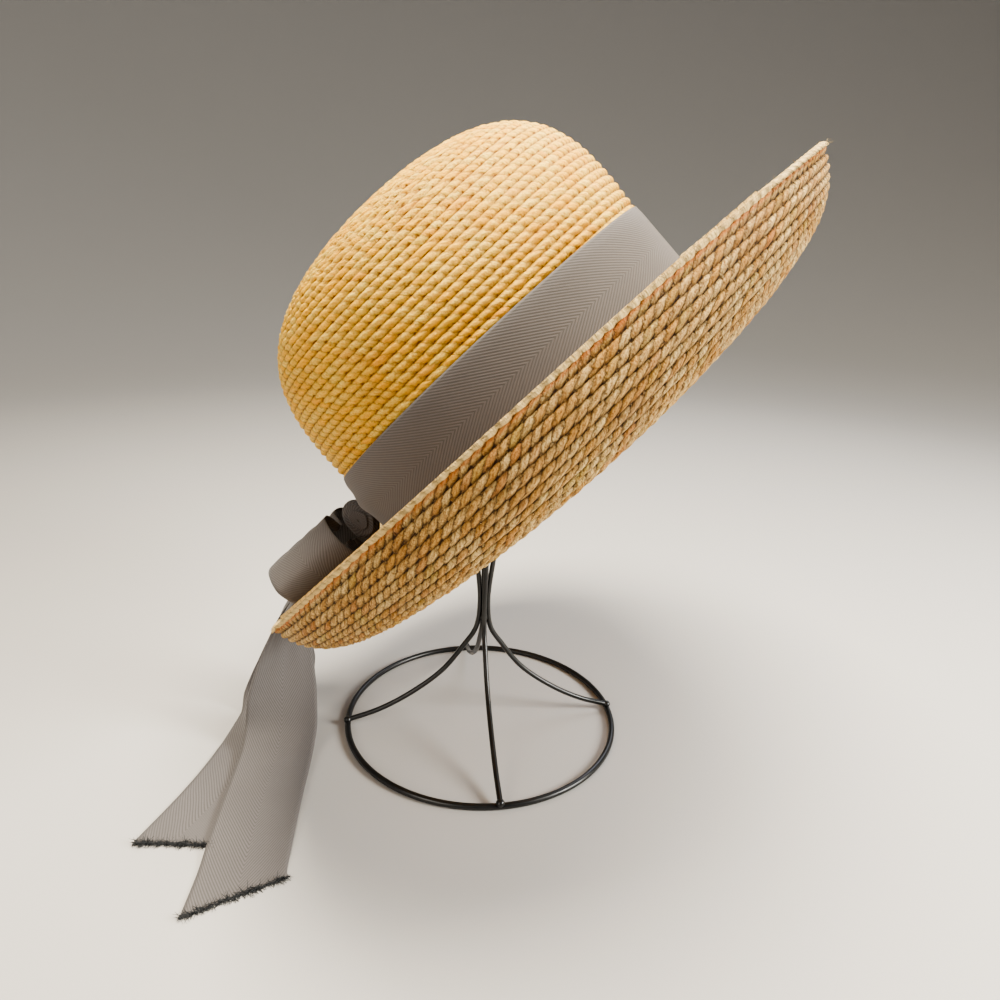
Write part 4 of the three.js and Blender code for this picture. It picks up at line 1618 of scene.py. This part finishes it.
@dataclass
class WireStand:
    """The stand: a ring on the floor, four legs that rise to a hub, and a cage inside the crown."""

    middle: tuple[float, float] = (AXIS_X, AXIS_Y)
    ring_radius: float = 80.0
    ring_wire: float = 3.5
    leg_wire: float = 3.0
    hub_height: float = 69.0
    hub_spread: float = 0.72
    cage_radius: float = 33.0
    bead: float = 4.6
    legs: int = 4
    first_leg: float = -80.6
    leg_steps: int = 130
    weld_lumps: float = 0.06

    # Shares of the ring's radius and of the hub's height
    LEG_CURVE = ((1, 0.055), (0.775, 0.14), (0.54, 0.285), (0.3, 0.5), (0.14, 0.74), (0.055, 0.9))
    # Shares of the cage's radius and of its height above the hub
    CAGE_CURVE = (
        (0.07, 0.04), (0.16, 0.16), (0.38, 0.4), (0.72, 0.66),
        (0.98, 0.8), (0.86, 0.89), (0.48, 0.968), (0, 1),
    )

    def at(self, number: int, radius: float, height: float) -> tuple[float, float, float]:
        """Find a place on one leg's side of the stand.

        Args:
            number: Which leg.
            radius: Distance from the stand's axis.
            height: Height above the floor.

        Returns:
            The place in the part's frame.
        """
        angle = math.radians(self.first_leg + 360 * number / self.legs)
        x, y = self.middle
        return x + radius * math.cos(angle), y + radius * math.sin(angle), height

    def leg(self, number: int, top: float) -> bpy.types.Object:
        """Build one wire from the ring to the top of the cage.

        Args:
            number: Which leg.
            top: Height of the cage's top bead.

        Returns:
            The wire as a mesh.
        """
        points = [(r * self.ring_radius, h * self.hub_height) for r, h in self.LEG_CURVE]
        for reach, height in self.CAGE_CURVE:
            points.append((
                max(reach * self.cage_radius, self.leg_wire * self.hub_spread if reach else 0),
                self.hub_height + (top - self.hub_height) * height,
            ))
        route = np.array([self.at(number, radius, height) for radius, height in points])
        smooth = spline(route, np.linspace(0, 1, self.leg_steps + 1), True) * MM
        deselect_all()
        bpy.ops.curve.primitive_nurbs_path_add(location=(0, 0, 0))
        wire = bpy.context.active_object
        wire.data.splines.clear()
        line = wire.data.splines.new("POLY")
        line.points.add(len(smooth) - 1)
        for point, place in zip(line.points, smooth):
            point.co = (*place, 1)
        wire.data.bevel_depth = self.leg_wire / 2 * MM
        wire.data.bevel_resolution = 4
        wire.data.use_fill_caps = True
        select_only(wire)
        bpy.ops.object.convert(target="MESH")
        return bpy.context.active_object

    def weld(self, place: Sequence[float], size: float, squash: Sequence[float]) -> bpy.types.Object:
        """Build one weld bead, a slightly flattened drop of metal.

        Args:
            place: Its middle, in millimetres.
            size: Its diameter.
            squash: How its three sides are scaled.

        Returns:
            The bead.
        """
        deselect_all()
        bpy.ops.mesh.primitive_uv_sphere_add(
            segments=20, ring_count=12, radius=size / 2 * MM,
            location=tuple(v * MM for v in place), scale=tuple(squash),
        )
        bead = bpy.context.active_object
        bpy.ops.object.transform_apply(location=True, rotation=True, scale=True)
        chance = np.random.default_rng(int(abs(place[0] * 7 + place[1] * 3)))
        lumps = chance.normal(0, self.weld_lumps, (len(bead.data.vertices), 3))
        for vertex, lump in zip(bead.data.vertices, lumps):
            vertex.co += Vector(lump * MM)
        return bead

    def build(self, finish: CoatedWireFinish) -> None:
        """Build and dress the whole stand as one welded piece.

        Args:
            finish: The coated wire's finish.
        """
        _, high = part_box("wire_stand")
        top = high.z / MM - self.bead / 2
        deselect_all()
        bpy.ops.mesh.primitive_torus_add(
            major_segments=160, minor_segments=16,
            major_radius=self.ring_radius * MM, minor_radius=self.ring_wire / 2 * MM,
            location=(self.middle[0] * MM, self.middle[1] * MM, self.ring_wire / 2 * MM),
        )
        ring = bpy.context.active_object
        bpy.ops.object.transform_apply(location=True, rotation=True, scale=True)
        pieces = [ring]
        for number in range(self.legs):
            pieces.append(self.leg(number, top))
            foot = self.at(number, self.ring_radius, self.LEG_CURVE[0][1] * self.hub_height)
            pieces.append(self.weld(foot, self.bead, (1.0, 1.0, 0.9)))
        pieces.append(self.weld((*self.middle, self.hub_height), self.bead * 1.15, (1, 1, 1.3)))
        pieces.append(self.weld((*self.middle, top), self.bead, (1, 1, 1)))
        stand = join_pieces("welded_stand", pieces)
        stand.data.shade_smooth()
        dress(stand, finish.material())
        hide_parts("wire_stand")


@dataclass
class Studio:
    """Pale floor, soft lights and the camera at the photo's place."""

    eye: tuple[float, float, float] = (AXIS_X + 7.12, AXIS_Y - 393.52, 276.64)
    pitch: float = 18.95
    roll: float = 2.12
    lens: float = 27.0
    sensor: float = 36.0
    floor_radius: float = 1.2
    cove_radius: float = 1.5
    floor_colour: str = "#C6C3BF"
    sky_colour: str = "#E6E8EC"
    sky_strength: float = 0.14
    # How close the floor's corners are joined, in metres
    weld: float = 0.0005

    # Places, aims and sides in metres, power in watts
    LIGHTS = (
        dict(name="key", place=(0.02, -0.06, 1.0), aim=(0.0, 0.0, 0.2), side=0.42, watts=22.5, hue="#FFF5E2"),
        dict(name="side", place=(1.0, -0.3, 0.55), aim=(0.08, 0.0, 0.22), side=0.4, watts=19, hue="#FFFDF6"),
        dict(name="rim", place=(0.5, 0.75, 0.9), aim=(0.0, 0.0, 0.2), side=0.6, watts=4.0, hue="#F2F5FF"),
        dict(name="front", place=(-0.6, -0.85, 0.6), aim=(0.0, 0.0, 0.25), side=0.6, watts=5, hue="#FFF6EA"),
    )

    def camera(self) -> None:
        """Add the camera, level with the photo's own and tilted as it was."""
        p, r = math.radians(self.pitch), math.radians(self.roll)
        forward = Vector((0, math.cos(p), -math.sin(p)))
        level = Vector((0, math.sin(p), math.cos(p)))
        right = Vector((1, 0, 0)) * math.cos(r) + level * math.sin(r)
        up = level * math.cos(r) - Vector((1, 0, 0)) * math.sin(r)
        data = bpy.data.cameras.new("view")
        data.lens, data.sensor_width, data.clip_start, data.clip_end = self.lens, self.sensor, 0.01, 50
        camera = bpy.data.objects.new("view", data)
        bpy.context.scene.collection.objects.link(camera)
        turned = Matrix((right, up, -forward)).transposed().to_4x4()
        camera.matrix_world = Matrix.Translation(Vector(self.eye) * MM) @ turned
        bpy.context.scene.camera = camera

    def light(
        self, name: str, place: Sequence[float], aim: Sequence[float], side: float, watts: float, hue: str
    ) -> None:
        """Add one soft square light.

        Args:
            name: Its name.
            place: Where it stands, in metres.
            aim: What it looks at.
            side: Its side, in metres.
            watts: Its power.
            hue: Its colour.
        """
        data = bpy.data.lights.new(name, "AREA")
        data.size, data.energy, data.color = side, watts, linear(hue)[:3]
        lamp = bpy.data.objects.new(name, data)
        bpy.context.scene.collection.objects.link(lamp)
        lamp.location = place
        lamp.visible_camera = False
        lamp.rotation_euler = (Vector(aim) - Vector(place)).to_track_quat("-Z", "Y").to_euler()

    def sweep(self) -> bpy.types.Object:
        """Shape the floor, which bends up to a low wall so that no edge shows behind the model.

        Returns:
            The floor, without its material.
        """
        deselect_all()
        bpy.ops.mesh.primitive_grid_add(x_subdivisions=96, y_subdivisions=40, size=2, location=(0, 0, 0))
        sweep = bpy.context.active_object
        sweep.name = "studio_sweep"
        for vertex in sweep.data.vertices:
            turn, share = (vertex.co.x + 1) * math.pi, (vertex.co.y + 1) / 2
            bend = max(0.0, share * 2 - 1) * math.pi / 2
            out = min(share * 2, 1.0) * self.floor_radius + self.cove_radius * math.sin(bend)
            vertex.co = (out * math.cos(turn), out * math.sin(turn), self.cove_radius * (1 - math.cos(bend)))
        rework(sweep.data, self.weld, True)
        if sum(face.normal.z for face in sweep.data.polygons) < 0:
            sweep.data.flip_normals()
        sweep.data.shade_smooth()
        return sweep

    def build(self) -> None:
        """Add the floor, the sky, the lights and the camera."""
        self.camera()
        sweep = self.sweep()
        sweep.data.materials.append(PaperFinish("matt_paper_sweep", self.floor_colour).material())
        world = bpy.data.worlds.new("studio")
        world.use_nodes = True
        world.node_tree.nodes.clear()
        sky = {"Color": linear(self.sky_colour), "Strength": self.sky_strength}
        background = add_node(world.node_tree, "Background", sky)
        add_node(world.node_tree, "OutputWorld", {"Surface": background.outputs[0]})
        bpy.context.scene.world = world
        for row in self.LIGHTS:
            self.light(**row)
        bpy.context.scene.view_settings.look = "AgX - Medium High Contrast"


def main() -> None:
    """Build every sub-assembly in order; each piece's face count is logged."""
    logging.basicConfig(level=logging.INFO, format="%(name)s %(message)s")
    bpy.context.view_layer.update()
    Studio().build()
    pose = HatPose()
    straw = RaffiaFinish(
        "raffia_braid_golden", pale="#FFE47A", straw="#FFC848", deep="#DC9A34", gap="#74430F", ripe="#F4AC4C",
        green="#DFCB5C", edge="#FFE6A6", contrast=0.6,
    )
    # Painted shade: the brim uses a darker, browner copy of the crown's straw
    shade = RaffiaFinish(
        "raffia_braid_tan", pale="#F6D894", straw="#D8A658", deep="#80501E", gap="#2A1303", ripe="#B85C1E",
        green="#C2AE50", edge="#FFE3A0", contrast=0.65, relief_mm=1.2, seam_depth=0.6, painted_lap_shade=0.34,
    )
    Crown(pose, BraidRows(slant=0.72, seed=5)).build(straw)
    brim = Brim(pose, BraidRows(slant=-1.15, skew=1.5, seed=9))
    fibre = ThreadFinish(
        "raffia_fibre", pale="#F2DFAE", deep="#C79F5A", patch_mm=4.545, detail=1.0, roughness=0.7, gloss=0.3,
    )
    brim.build(shade, fibre)
    ribbon = Ribbon()
    tape = TwillFinish("herringbone_cotton_tape", thread="#757170", shadow="#5B5755", edge="#6A6664")
    twill = tape.material()
    Band(pose, ribbon).build(twill)
    # The cut threads are grey, and their near-black patches are painted shade along the cut end
    fray = ThreadFinish(
        "cut_threads_painted_shade", pale="#626466", deep="#0E1012", patch_mm=1.6667, detail=2.0, roughness=0.95,
        gloss=0.1,
    )
    Bow(pose, ribbon, brim).build(twill, fray)
    WireStand().build(CoatedWireFinish("black_powder_coated_wire", colour="#131313", worn="#242424"))


if __name__ == "__main__":
    main()
